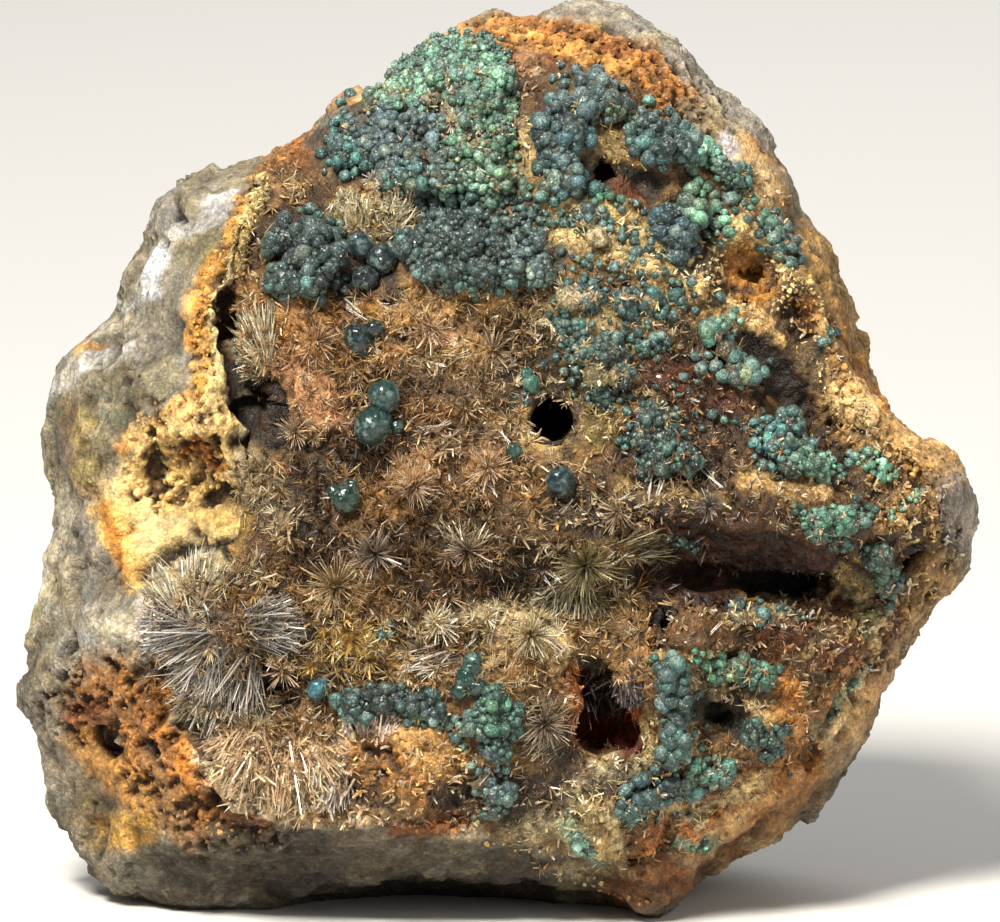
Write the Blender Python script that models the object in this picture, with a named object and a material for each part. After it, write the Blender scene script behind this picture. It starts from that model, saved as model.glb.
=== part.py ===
"""Hemimorphite specimen: a lump of brown rock, its hollow front lined with crystal sprays and blue-green balls.

The lump is modelled as it is seen from the front: x runs to the right, y up and z towards the viewer, from the
middle of the view. An empty then leans it back and lifts it, so that it stands on its flat base with +Z up and
its crystal face towards -Y. Outlines and feature places are in millimetres.
"""

import math
import random

import bmesh
import bpy
from mathutils import Euler, Matrix, Vector, noise
from mathutils.bvhtree import BVHTree

MM = 0.001

# Driving dimensions
FRONT_DEPTH = 23 * MM
BACK_DEPTH = 31 * MM
BASE_DROP = 42.6 * MM
LEAN_BACK = math.radians(10)
RIM_TILT = Vector((0.5, -4.0)) * MM
FACE_FLATNESS = 3
RELIEF_FADES_BELOW = 0.3
ROUGHNESS = 0.9 * MM
ROUGHNESS_SCALE = 8 * MM
EDGE_ROUGHNESS = 0.4
CRAGS = 2.4 * MM
CRAG_SCALE = 10 * MM
CHIPS = 18
CHIP_REACH = Vector((45, 44, 29)) * MM
CHIPS_FACE_BACK = -0.5
CHIPS_FACE_DOWN = -0.2
CRUST_THICKNESS = 2.2 * MM
JOINT_GAP = 0.3 * MM
SEAT_GAP = 0.4 * MM
PROBE_HEIGHT = 80 * MM
SKIN_FACES_KEPT = 0.09
INNER_FACES_KEPT = 0.34
BALL_FACES_KEPT = 0.45
BALL_RISE = 0.4
BALL_STEP = 1.4
BALL_JITTER = 0.12
BALL_MARGIN = 0.42
BALL_SIZES = (0.92, 1.12)
ROW_STEP = 1.1
MOST_ROWS = 30
MERGE_WITHIN = 0.001 * MM
SEED = 31

# The lump seen from the front, anticlockwise from its right tip. It runs on below the base, which trims it.
OUTLINE = (
    (47.5, -6.4), (47.2, -2.6), (45.0, 0.3), (42.0, 2.4), (39.6, 4.0), (37.8, 6.4), (36.6, 10.1),
    (35.8, 14.0), (35.0, 17.4), (33.6, 21.2), (31.4, 23.0), (30.0, 24.0), (29.0, 28.4), (27.2, 31.0),
    (26.3, 33.8), (23.6, 36.0), (21.4, 37.8), (20.0, 39.3), (17.6, 42.1), (16.0, 42.4), (14.6, 43.9),
    (12.4, 45.0), (8.8, 45.7), (5.0, 45.2), (3.0, 44.3), (0.0, 45.0), (-2.0, 44.3), (-4.8, 42.2),
    (-7.8, 41.2), (-10.0, 38.7), (-12.4, 37.2), (-15.2, 36.7), (-17.5, 33.9), (-22.5, 31.1), (-25.2, 29.8),
    (-27.8, 28.9), (-30.2, 28.5), (-32.2, 27.2), (-34.5, 26.4), (-34.7, 24.4), (-36.0, 21.4), (-38.0, 18.0),
    (-38.3, 14.0), (-41.4, 12.0), (-44.2, 8.8), (-45.2, 3.0), (-44.3, -5.4), (-45.0, -11.4), (-46.8, -17.6),
    (-48.0, -22.9), (-46.4, -27.8), (-45.6, -32.4), (-43.8, -36.4), (-41.6, -39.0), (-40.2, -41.6),
    (-36.0, -43.4), (-31.0, -48.0), (-20.0, -49.0), (-8.0, -48.0), (4.0, -48.4), (12.0, -49.6),
    (15.6, -49.0), (18.0, -44.2), (21.5, -40.9), (28.0, -37.3), (31.6, -35.0), (35.2, -31.0), (37.6, -24.9),
    (38.8, -21.4), (40.4, -18.6),
    (43.8, -14.2), (46.8, -10.2),
)

# Broad swells and hollows of the front: x, y, half width, half height, rise
SWELLS = {
    "left ball bank": (-20, 20.6, 6, 7, 2.2),
    "upper left field": (-7, 33, 13, 9, 1.6),
    "dark lower bank": (-3, 21, 9, 5, 2.4),
    "upper right bank": (8, 32, 6, 8, 1.8),
    "right clump": (16, 31, 5, 4.5, 2.2),
    "rusty top": (8, 42, 14, 5, -1.5),
    "vein shoulder": (-33, 8, 8, 16, 0.8),
    "ochre pocket": (-32, -3, 7, 8.5, -3.4),
    "ochre pocket lip": (-33, -12, 6, 3, 1.2),
    "middle hollow": (-4, 2, 22, 13, -1.8),
    "valley": (6, -13, 18, 6.5, -2.6),
    "spongy pocket": (24.5, 18, 5, 5, -2.8),
    "side pocket": (30.5, 15, 2.6, 4, -1.6),
    "left fan": (-26.5, -16, 8, 7, 2.6),
    "left shoulder fan": (-24, 12, 4, 6, 1.4),
    "middle fan": (-17, -18, 9, 5.5, 1.2),
    "cream fan": (-24, -31, 9, 6, 2.8),
    "cream lump": (-9, -31, 9, 6, 3.0),
    "green mass": (-1, -25, 5, 8, 1.8),
    "lower right lump": (9, -34, 10, 6, 1.6),
    "brown dome": (19, -18, 4.5, 4.5, 2.6),
    "cream shoulder": (27, -24, 7, 6, 1.6),
    "rusty sponge": (-38, -27, 7, 7, -1.4),
    "right foot": (15.5, -43, 7, 6, 5.0),
    "left foot": (-27, -43, 12, 6, -4.0),
    "tip lump": (44.5, -6, 4, 5, 3.5),
}

# Ridges, ledges and grooves of the front: from x, y, to x, y, half width, rise
RIDGES = {
    "vein top": (-22, 30, -26, 23, 3, 1.8),
    "vein middle": (-26, 23, -29.5, 15, 3, 1.8),
    "vein foot": (-29.5, 15, -29, 4, 3, 1.6),
    "vein groove": (-26.3, 15.5, -24, 4, 2.4, -3.0),
    "black slot": (-26.6, 15.5, -25.4, 8, 1.2, -1.2),
    "pocket apex rim": (23.5, 23.6, 20, 17.5, 2, 1.6),
    "right ridge top": (23.5, 23.6, 30, 17, 2.4, 2.2),
    "right ridge middle": (30, 17, 36.5, 5, 3, 3.0),
    "right ridge foot": (36.5, 5, 45, -2.5, 3.4, 3.4),
    "pocket floor rim": (20, 17, 29, 16.5, 1.8, 1.4),
    "dark groove": (23.5, 13, 33.5, 0, 3, -2.6),
    "crevice": (16, -10.2, 35, -12.6, 4.2, -5.0),
    "crevice ledge": (13, -4, 40, -6.5, 4, 2.6),
    "crevice lower lip": (20, -16.2, 34, -17.4, 3, 1.2),
    "dark nook": (15, -14.5, 17.5, -18.5, 2, -2.4),
    "column": (16.8, -19, 17, -30, 2.6, 1.8),
    "row": (12, -33, 23, -29, 3, 1.2),
    "lower rim left": (-28, -35.5, -12, -35, 3, 1.6),
    "lower rim right": (-12, -35, 4, -38, 3, 1.4),
    "crack": (-36, -11, -27, -8.8, 1.6, -1.6),
    "fan rim": (-35, -14, -20, -10, 2, 1.4),
    "layer groove": (37, -21, 29, -29, 1.8, -1.4),
}

# Broken facets of the sides and the back: a point on the facet and its outward direction
FACETS = {
    "left upper": ((-39, 19, 2), (-0.80, 0.42, 0.42)),
    "left shoulder": ((-38, 4, 15), (-0.62, 0.12, 0.78)),
    "left side": ((-46, -2, -4), (-0.97, 0.05, -0.22)),
    "left foot": ((-44, -30, 6), (-0.74, -0.30, 0.60)),
    "underside": ((-12, -40, 17), (0.02, -0.78, 0.62)),
    "right lower": ((34, -27, 12), (0.66, -0.46, 0.60)),
    "right side": ((42, 8, -4), (0.86, 0.40, -0.32)),
    "top": ((6, 43, -8), (0.05, 0.86, -0.50)),
    "top right": ((23, 33, 8), (0.62, 0.52, 0.58)),
    "back upper": ((0, 12, -27), (0.10, 0.34, -0.94)),
    "back lower": ((-6, -16, -27), (-0.14, -0.16, -0.98)),
    "back left": ((-34, -6, -17), (-0.66, 0.02, -0.75)),
    "back right": ((30, -4, -18), (0.62, -0.10, -0.78)),
    "back top left": ((-18, 30, -14), (-0.46, 0.62, -0.63)),
}
FACET_PULL = 0.85
CHIP_PULL = 0.9
CHIP_DEPTHS = (0.95, 1.1)

# The part of the front that the crystals line
LINING = (
    (-26.2, 18.5), (-25.0, 24.5), (-21.5, 29.5), (-18.0, 32.5), (-14.0, 35.3), (-8.5, 38.6), (-3.0, 40.6),
    (1.5, 39.8), (6.0, 39.3), (12.0, 37.8), (17.5, 34.5), (21.5, 31.0), (24.5, 26.6), (28.5, 23.4),
    (30.8, 18.0), (32.4, 12.0), (34.6, 6.0), (38.6, 1.0), (43.0, -2.6), (43.4, -8.0), (39.0, -13.4),
    (34.6, -19.0), (31.6, -26.0), (27.0, -32.0), (20.0, -36.6), (12.0, -39.0), (6.0, -38.2), (-1.0, -36.4),
    (-10.0, -34.8), (-19.0, -35.2), (-26.0, -34.2), (-29.4, -30.6), (-32.0, -25.0), (-34.6, -19.0),
    (-35.0, -13.0), (-30.0, -10.4), (-25.6, -8.6), (-24.6, -1.0), (-24.2, 6.0), (-25.6, 12.0),
)

# Crystal sprays: x, y, radius, height
SPRAYS = (
    (-24.0, 12.0, 4.6, 1.9), (-18.6, 11.4, 4.6, 1.8), (-8.0, 13.6, 5.0, 2.0), (-1.0, 11.6, 4.6, 1.8),
    (-5.6, 5.6, 4.8, 1.8), (-20.4, 2.6, 4.8, 1.7), (-0.6, -0.6, 4.4, 1.7), (-8.4, -2.6, 5.0, 1.9),
    (-21.0, -6.4, 5.0, 1.9), (-12.4, -9.4, 5.0, 2.0), (-3.4, -9.0, 4.8, 1.9), (8.6, -9.8, 5.2, 2.2),
    (-16.2, -15.6, 5.2, 2.2), (-27.8, -15.8, 5.6, 2.4), (-21.6, -20.8, 4.4, 1.9), (-6.4, -16.4, 4.6, 1.8),
    (3.0, -17.2, 4.8, 1.9), (-28.4, -24.4, 4.4, 1.8), (-24.8, -31.0, 5.0, 2.1), (-15.6, -31.4, 4.8, 1.9),
    (-12.2, 25.0, 3.4, 1.4), (20.6, -4.6, 3.4, 1.4), (19.6, -17.6, 3.8, 1.7), (12.4, -38.2, 3.4, 1.4),
)
SPRAY_RAYS = 5
SPRAY_NOTCH = 0.62
SPRAY_ROOT = 1.4
SPRAY_FACES_VIEWER = 0.5

# Blue-green growths of many small balls: outline, and the radius of their balls
CLUSTERS = {
    "upper_left_ball_field": (
        ((-18.0, 31.4), (-15.6, 34.8), (-12.0, 36.2), (-8.6, 38.4), (-5.4, 40.0), (-1.6, 40.2), (0.6, 38.4),
         (1.4, 34.8), (2.0, 30.4), (2.6, 27.0), (0.0, 25.8), (-6.4, 25.8), (-12.4, 27.4), (-17.4, 27.8)),
        1.95,
    ),
    "dark_lower_bank": (
        ((-10.8, 22.6), (-8.2, 24.2), (-2.0, 24.4), (4.4, 23.8), (5.4, 20.4), (4.4, 17.4), (-1.6, 16.8),
         (-7.2, 17.2), (-10.8, 19.2)),
        1.85,
    ),
    "upper_right_ball_bank": (
        ((4.4, 37.2), (8.6, 38.2), (12.0, 36.8), (11.2, 32.8), (8.0, 31.8), (8.0, 26.4), (4.6, 26.4),
         (3.4, 30.0)),
        1.75,
    ),
    "right_ball_clump": (
        ((13.4, 34.8), (15.6, 35.0), (19.0, 32.8), (20.6, 30.0), (17.4, 28.8), (13.4, 29.4), (12.6, 32.0)),
        1.65,
    ),
    "blue_grey_ball_group": (
        ((14.2, 24.6), (17.4, 26.6), (21.8, 26.2), (22.2, 23.0), (19.4, 20.0), (15.4, 20.8)),
        1.75,
    ),
    "right_edge_ball_group": (
        ((25.2, 24.4), (28.4, 24.0), (29.8, 20.8), (27.0, 19.6), (25.0, 21.4)),
        1.55,
    ),
    "left_ball_cluster": (
        ((-21.8, 24.4), (-18.4, 25.4), (-16.0, 23.0), (-15.6, 20.0), (-16.4, 17.0), (-19.2, 15.6),
         (-22.2, 17.4), (-22.6, 21.0)),
        1.8,
    ),
    "middle_ball_group": (
        ((6.2, 18.4), (9.4, 18.4), (10.6, 16.6), (8.6, 14.4), (5.8, 15.2)),
        1.55,
    ),
    "middle_right_ball_group": (
        ((12.0, 18.2), (15.0, 18.6), (16.8, 16.2), (14.4, 14.2), (11.6, 15.0)),
        1.5,
    ),
    "scattered_ball_band": (
        ((6.0, 12.4), (10.8, 12.8), (13.6, 11.2), (13.2, 7.6), (9.8, 6.4), (7.2, 8.2)),
        1.7,
    ),
    "groove_ball_group": (
        ((20.2, 14.0), (24.4, 13.8), (26.8, 10.4), (25.4, 6.8), (22.0, 7.0), (19.8, 10.4)),
        1.7,
    ),
    "hole_side_ball_group": (
        ((12.0, 4.2), (16.0, 5.6), (19.6, 3.4), (19.8, 0.2), (16.4, -2.0), (13.0, 0.2)),
        1.7,
    ),
    "ridge_foot_ball_group": (
        ((25.4, 3.6), (28.6, 4.8), (32.2, 1.4), (33.0, -1.6), (29.6, -2.6), (25.8, -0.6)),
        1.65,
    ),
    "ledge_ball_group": (
        ((28.6, -4.6), (32.4, -3.8), (36.2, -5.2), (35.2, -8.2), (31.2, -8.2)),
        1.6,
    ),
    "left_middle_ball_field": (
        ((6.4, 25.2), (9.4, 25.2), (11.6, 24.0), (12.0, 21.6), (10.6, 20.4), (7.2, 20.6)),
        1.5,
    ),
    "lower_green_mass": (
        ((-3.4, -22.0), (-0.4, -22.0), (2.2, -24.0), (2.4, -28.4), (-1.4, -30.0), (-4.2, -27.4)),
        1.75,
    ),
}

# Rows of blue-green balls grown together: the line that they follow, and their radius
BALL_ROWS = {
    "lower_ball_row": (((-14.6, -24.0), (-10.4, -23.6), (-6.6, -24.4)), 1.6),
    "tall_lower_column": (((-2.2, -17.8), (-1.8, -19.6)), 1.4),
    "lower_blue_group": (((-2.0, -32.2), (0.6, -33.0), (-0.6, -34.8)), 1.3),
    "cavity_side_column": (((17.2, -20.6), (17.4, -25.0), (17.0, -29.0)), 1.45),
    "lower_right_band": (((21.4, -20.8), (24.0, -20.4), (26.2, -21.4)), 1.4),
    "dark_green_lump": (((25.0, -26.6), (26.8, -28.4)), 1.5),
    "descending_ball_row": (((12.8, -34.4), (17.0, -32.4), (21.8, -30.8)), 1.5),
    "tip_ball_group": (((37.6, -9.4), (38.4, -12.2)), 1.5),
    "valley_green_group": (((23.4, -15.2), (27.8, -15.8)), 1.3),
    "top_right_turquoise_group": (((21.2, 30.4), (22.6, 28.2)), 1.3),
}

# Colours of the balls, by a word in their name
TINTS = {
    "dark": (0.02, 0.045, 0.055),
    "slate": (0.03, 0.06, 0.075),
    "blue": (0.10, 0.17, 0.20),
    "turquoise": (0.27, 0.60, 0.52),
    "light": (0.12, 0.28, 0.27),
    "green": (0.05, 0.17, 0.13),
}
PLAIN_TINT = (0.045, 0.13, 0.13)

# Balls that stand alone, or two or three grown together: each ball is x, y, radius
SINGLE_BALLS = {
    "slate_ball_pair": ((-13.8, 11.9, 1.6), (-12.4, 13.3, 1.0)),
    "centre_ball_trio": ((-11.1, 6.3, 1.7), (-12.2, 3.7, 1.95), (-10.4, 3.6, 1.0)),
    "green_ball": ((-15.5, -3.6, 1.5),),
    "light_teal_ball": ((-17.8, -22.7, 1.3),),
    "hole_foot_ball": ((5.7, -2.1, 1.5),),
    "hole_top_ball": ((3.1, 7.8, 1.15),),
    "small_flat_ball": ((1.5, 1.1, 0.9),),
    "dark_round_ball": ((-13.0, 17.6, 1.7),),
    "dark_upper_ball": ((-13.6, 21.0, 1.4),),
}

# Holes, pits and slots of the front: x, y, depth of the middle below the surface, half sizes, turn, smoothness
HOLLOWS = {
    "round hole": (5.2, 4.1, 4.0, (2.05, 2.05, 9.0), (0, 0, 0), 2),
    "rusty cavity upper": (9.4, -21.6, 2.0, (2.6, 3.2, 6.5), (0, 0, 20), 2),
    "rusty cavity lower": (10.5, -26.2, 3.4, (3.6, 2.9, 8.0), (10, 0, -6), 2),
    "crevice left": (20.2, -11.2, 0.0, (4.4, 2.0, 4.5), (20, 0, -4), 2),
    "crevice middle": (28.0, -12.0, 0.4, (6.2, 2.1, 6.0), (20, 0, -2), 2),
    "crevice nook": (16.4, -16.6, 0.4, (1.2, 2.0, 3.2), (0, 0, 0), 1),
    "dark hollow": (10.3, 28.8, 0.8, (2.0, 2.0, 4.2), (0, 0, 0), 1),
    "clump shadow": (16.6, 27.4, 0.2, (3.4, 0.8, 2.4), (0, 0, -4), 1),
    "black slot": (-26.4, 14.0, 0.2, (1.0, 2.6, 3.4), (0, 0, 8), 1),
    "dark patch pit": (-23.6, 5.4, 0.2, (2.2, 2.0, 2.6), (0, 0, 0), 1),
    "ochre pit left": (-34.6, -1.8, 0.2, (1.5, 2.0, 2.4), (0, 0, 0), 1),
    "ochre pit right": (-29.0, -3.8, 0.2, (2.6, 1.2, 2.4), (0, 0, 0), 1),
    "spongy pocket pit": (24.8, 18.4, 0.2, (2.4, 2.0, 2.6), (0, 0, 0), 1),
    "column hollow": (21.6, -25.0, 0.4, (2.4, 2.0, 3.2), (0, 0, 0), 1),
    "lower right hole": (30.8, -29.9, 0.4, (1.0, 1.5, 3.2), (0, 0, -20), 1),
    "tip hole": (41.2, -10.2, 0.4, (1.1, 1.7, 3.2), (0, 0, 0), 1),
    "rusty pit upper": (-39.2, -28.0, 0.2, (1.7, 1.7, 2.4), (0, 0, 0), 1),
    "rusty pit lower": (-28.6, -34.2, 0.2, (1.7, 1.3, 2.6), (0, 0, 0), 1),
    "fan nook": (-22.2, -22.8, 0.2, (1.6, 1.4, 2.6), (0, 0, 0), 1),
    "grey pit": (-42.8, -18.4, 0.2, (1.6, 1.9, 2.2), (0, 0, 0), 1),
}

# Arches worn into the underside between the two feet: middle and half sizes
ARCHES = {
    "left arch": ((-7.0, -45.4, 14.0), (18.0, 4.0, 15.0)),
    "right arch": ((7.4, -45.8, 14.0), (7.0, 3.2, 10.0)),
}


def clear_scene():
    for old in list(bpy.data.objects):
        bpy.data.objects.remove(old)


def new_collection(name, hidden=False):
    made = bpy.data.collections.new(name)
    bpy.context.scene.collection.children.link(made)
    made.hide_render = hidden
    return made


def new_object(name, mesh, collection):
    made = bpy.data.objects.new(name, mesh)
    collection.objects.link(made)
    if collection.hide_render:
        made.hide_render = True
        made.display_type = "WIRE"
    return made


def settled_mesh(source):
    """The object's mesh with all its modifiers applied."""
    bpy.context.view_layer.update()
    graph = bpy.context.evaluated_depsgraph_get()
    return bpy.data.meshes.new_from_object(source.evaluated_get(graph))


def boolean(target, tool, operation="DIFFERENCE", overlapping=False):
    modifier = target.modifiers.new(operation.title() + " " + tool.name, "BOOLEAN")
    modifier.operation = operation
    modifier.solver = "EXACT"
    modifier.use_self = overlapping
    modifier.object = tool


def thin_out(target, share):
    modifier = target.modifiers.new("Fewer faces", "DECIMATE")
    modifier.ratio = share


def material(name, colour, roughness, metallic=0.0):
    made = bpy.data.materials.new(name)
    made.use_nodes = True
    shader = made.node_tree.nodes["Principled BSDF"]
    shader.inputs["Base Color"].default_value = (*colour, 1.0)
    shader.inputs["Roughness"].default_value = roughness
    shader.inputs["Metallic"].default_value = metallic
    made.diffuse_color = (*colour, 1.0)
    return made


def tint_of(name):
    """The colour of a node of balls."""
    for word, colour in TINTS.items():
        if word in name:
            return colour
    return PLAIN_TINT


def edge_radius(angle):
    """How far the outline lies from the middle of the view, in the direction of the angle."""
    heading = Vector((math.cos(angle), math.sin(angle)))
    for start, end in zip(OUTLINE, OUTLINE[1:] + OUTLINE[:1], strict=True):
        start, end = Vector(start), Vector(end)
        if start.cross(heading) >= 0 and heading.cross(end) >= 0:
            return start.cross(end - start) / heading.cross(end - start) * MM
    raise ValueError("the outline doesn't go all the way round")


def fade(distance):
    """1 at the middle of a feature, falling smoothly to 0 at its edge."""
    return (1 - distance**2) ** 2 if distance < 1 else 0.0


def relief(x, y):
    """How far the features of the front raise the surface at x, y."""
    here = Vector((x, y)) / MM
    rise = 0.0
    for across, up, half_width, half_height, height in SWELLS.values():
        offset = here - Vector((across, up))
        rise += height * fade(math.hypot(offset.x / half_width, offset.y / half_height))
    for x1, y1, x2, y2, half_width, height in RIDGES.values():
        start, run = Vector((x1, y1)), Vector((x2 - x1, y2 - y1))
        along = max(0.0, min(1.0, (here - start).dot(run) / run.length_squared))
        rise += height * fade((here - start - along * run).length / half_width)
    return rise * MM


def pressed_flat(point, where, facing, pull):
    """The point, drawn back most of the way to a plane if it lies beyond it."""
    over = (point - where).dot(facing)
    return point - facing * max(0.0, over) * pull


def back_chips():
    """The planes of the breaks that shape the back, each as its nearest point and its facing."""
    chance = random.Random(SEED)
    chips = []
    while len(chips) < CHIPS:
        facing = Vector([chance.gauss(0, 1) for _ in range(3)]).normalized()
        if facing.z < CHIPS_FACE_BACK and facing.y > CHIPS_FACE_DOWN:
            distance = Vector([reach * side for reach, side in zip(CHIP_REACH, facing, strict=True)]).length
            chips.append((facing * distance * chance.uniform(*CHIP_DEPTHS), facing))
    return chips


def lump_point(direction, chips):
    """Where the lump's skin lies, for a direction from its middle."""
    across = min(1.0, math.hypot(direction.x, direction.y))
    reach = edge_radius(math.atan2(direction.y, direction.x)) * across
    flat = Vector((direction.x, direction.y)).normalized() if across > 0 else Vector((0, 0))
    swell = (1 - across**FACE_FLATNESS) ** 0.5
    depth = FRONT_DEPTH * swell if direction.z > 0 else -BACK_DEPTH * swell
    point = Vector((flat.x * reach, flat.y * reach, RIM_TILT.dot(flat) * across + depth))
    for where, facing in FACETS.values():
        point = pressed_flat(point, Vector(where) * MM, Vector(facing).normalized(), FACET_PULL)
    for where, facing in chips:
        point = pressed_flat(point, where, facing, CHIP_PULL)
    if direction.z > 0:
        point.z += relief(point.x, point.y) * min(1.0, direction.z / RELIEF_FADES_BELOW)
    rough = noise.fractal(point / ROUGHNESS_SCALE, 1.0, 2.0, 4) * ROUGHNESS
    nearest, second, *_ = noise.voronoi(point / CRAG_SCALE)[0]
    crag = (second - nearest) * CRAGS * max(0.0, -direction.z)
    rough *= EDGE_ROUGHNESS + (1 - EDGE_ROUGHNESS) * abs(direction.z)
    return point + direction * (rough + crag)


def make_lump(guides):
    """The whole lump, before it is parted into rock and crust."""
    mesh = bpy.data.meshes.new("lump")
    shape = bmesh.new()
    bmesh.ops.create_icosphere(shape, subdivisions=6, radius=1.0)
    chips = back_chips()
    for vertex in shape.verts:
        vertex.co = lump_point(vertex.co.normalized(), chips)
    shape.to_mesh(mesh)
    shape.free()
    lump = new_object("lump", mesh, guides)
    thin_out(lump, SKIN_FACES_KEPT)
    return lump


def prism(name, outline, guides, grow=0.0, near=0.0, far=PROBE_HEIGHT):
    """A flat outline drawn out towards the viewer, from near to far."""
    curve = bpy.data.curves.new(name, "CURVE")
    curve.dimensions = "2D"
    curve.fill_mode = "BOTH"
    curve.extrude = (far - near) / 2
    curve.offset = grow
    spline = curve.splines.new("POLY")
    spline.points.add(len(outline) - 1)
    for point, (x, y) in zip(spline.points, outline, strict=True):
        point.co = (x * MM, y * MM, 0, 1)
    spline.use_cyclic_u = True
    drawn = new_object(name + " outline", curve, guides)
    mesh = settled_mesh(drawn)
    shape = bmesh.new()
    shape.from_mesh(mesh)
    bmesh.ops.remove_doubles(shape, verts=shape.verts, dist=MERGE_WITHIN)
    bmesh.ops.recalc_face_normals(shape, faces=shape.faces)
    bmesh.ops.translate(shape, verts=shape.verts, vec=(0, 0, (near + far) / 2))
    shape.to_mesh(mesh)
    shape.free()
    bpy.data.objects.remove(drawn)
    return new_object(name, mesh, guides)


def front_of(tree, x, y):
    """The point of the front surface at x, y (in millimetres), and its normal."""
    place, normal, _, _ = tree.ray_cast(Vector((x * MM, y * MM, PROBE_HEIGHT)), Vector((0, 0, -1)))
    return place, normal


def make_sprays(lump_mesh, guides):
    """Low pointed stars of flat faces, one for each spray of crystals, sunk a little into the lump."""
    chance = random.Random(SEED)
    tree = tree_of(lump_mesh)
    shape = bmesh.new()
    for x, y, radius, height in SPRAYS:
        place, normal = front_of(tree, x, y)
        facing = normal.lerp(Vector((0, 0, 1)), SPRAY_FACES_VIEWER)
        upright = facing.to_track_quat("Z", "Y").to_matrix().to_4x4()
        turn = Matrix.Rotation(chance.uniform(0, math.tau), 4, "Z")
        middle = place + upright.to_3x3() @ Vector((0, 0, (height - SPRAY_ROOT) / 2 * MM))
        made = bmesh.ops.create_cone(
            shape,
            cap_ends=True,
            segments=2 * SPRAY_RAYS,
            radius1=radius * MM,
            radius2=0,
            depth=(height + SPRAY_ROOT) * MM,
            matrix=Matrix.Translation(middle) @ upright @ turn,
        )
        rim = [v for v in made["verts"] if (v.co - place).length > radius / 2 * MM]
        for vertex in rim[::2]:
            vertex.co = middle + (vertex.co - middle) * SPRAY_NOTCH
    bmesh.ops.remove_doubles(shape, verts=shape.verts, dist=MERGE_WITHIN)
    mesh = bpy.data.meshes.new("sprays")
    shape.to_mesh(mesh)
    shape.free()
    return new_object("sprays", mesh, guides)


def tree_of(mesh):
    shape = bmesh.new()
    shape.from_mesh(mesh)
    tree = BVHTree.FromBMesh(shape)
    shape.free()
    return tree


def lowered(source_mesh, name, drop, guides):
    """A copy of a mesh, moved away from the viewer."""
    mesh = source_mesh.copy()
    mesh.transform(Matrix.Translation((0, 0, -drop)))
    return new_object(name, mesh, guides)


def inside(outline, x, y):
    """Whether x, y lies inside the outline."""
    within = False
    for (x1, y1), (x2, y2) in zip(outline, outline[1:] + outline[:1], strict=True):
        if (y1 > y) != (y2 > y) and x < (x2 - x1) * (y - y1) / (y2 - y1) + x1:
            within = not within
    return within


def margin(outline, x, y):
    """The distance from x, y to the outline."""
    here = Vector((x, y))
    nearest = math.inf
    for start, end in zip(outline, outline[1:] + outline[:1], strict=True):
        start, run = Vector(start), Vector(end) - Vector(start)
        along = max(0.0, min(1.0, (here - start).dot(run) / run.length_squared))
        nearest = min(nearest, (here - start - along * run).length)
    return nearest


def balls_inside(outline, radius, chance):
    """Balls in staggered rows inside the outline, close enough to grow together."""
    step = BALL_STEP * radius
    rows = step * math.sin(math.radians(60))
    low_x = min(x for x, _ in outline)
    low_y = min(y for _, y in outline)
    places = []
    for row in range(MOST_ROWS):
        for column in range(MOST_ROWS):
            x = low_x + (column + row % 2 / 2) * step + chance.uniform(-1, 1) * BALL_JITTER * radius
            y = low_y + row * rows + chance.uniform(-1, 1) * BALL_JITTER * radius
            if inside(outline, x, y) and margin(outline, x, y) > BALL_MARGIN * radius:
                places.append((x, y, radius * chance.uniform(*BALL_SIZES)))
    return places


def balls_along(line, radius, chance):
    """Balls that follow a line, close enough to grow together."""
    balls = []
    for start, end in zip(line, line[1:]):
        start, run = Vector(start), Vector(end) - Vector(start)
        steps = max(1, round(run.length / (ROW_STEP * radius)))
        for step in range(steps):
            x, y = start + run * step / steps
            balls.append((x, y, radius * chance.uniform(*BALL_SIZES)))
    return (*balls, (*line[-1], radius))


def keep_largest(mesh):
    """Leaves only the largest of a mesh's bodies, so that no stray ball floats beside its cluster."""
    shape = bmesh.new()
    shape.from_mesh(mesh)
    waiting = set(shape.verts)
    bodies = []
    while waiting:
        reached = [waiting.pop()]
        for vertex in reached:
            near = {edge.other_vert(vertex) for edge in vertex.link_edges} & waiting
            waiting -= near
            reached += near
        bodies.append(reached)
    largest = max(bodies, key=len)
    bmesh.ops.delete(shape, geom=[v for body in bodies if body is not largest for v in body])
    shape.to_mesh(mesh)
    shape.free()


def make_balls(name, balls, skin_tree, trim, guides, group, subdivisions):
    """Balls grown together, seated on the crust with their hidden side trimmed away."""
    chance = random.Random(name)
    shape = bmesh.new()
    for x, y, radius in balls:
        place, _ = front_of(skin_tree, x, y)
        middle = place + Vector((0, 0, BALL_RISE * radius * MM))
        turn = Euler([chance.uniform(0, math.tau) for _ in range(3)]).to_matrix().to_4x4()
        bmesh.ops.create_icosphere(
            shape,
            subdivisions=subdivisions,
            radius=radius * MM,
            matrix=Matrix.Translation(middle) @ turn,
        )
    mesh = bpy.data.meshes.new(name)
    shape.to_mesh(mesh)
    shape.free()
    untrimmed = new_object(name + " untrimmed", mesh, guides)
    boolean(untrimmed, trim, overlapping=len(balls) > 1)
    thin_out(untrimmed, BALL_FACES_KEPT)
    trimmed = settled_mesh(untrimmed)
    keep_largest(trimmed)
    trimmed.materials.append(material(name, tint_of(name), 0.4))
    return new_object(name, trimmed, group)


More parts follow.
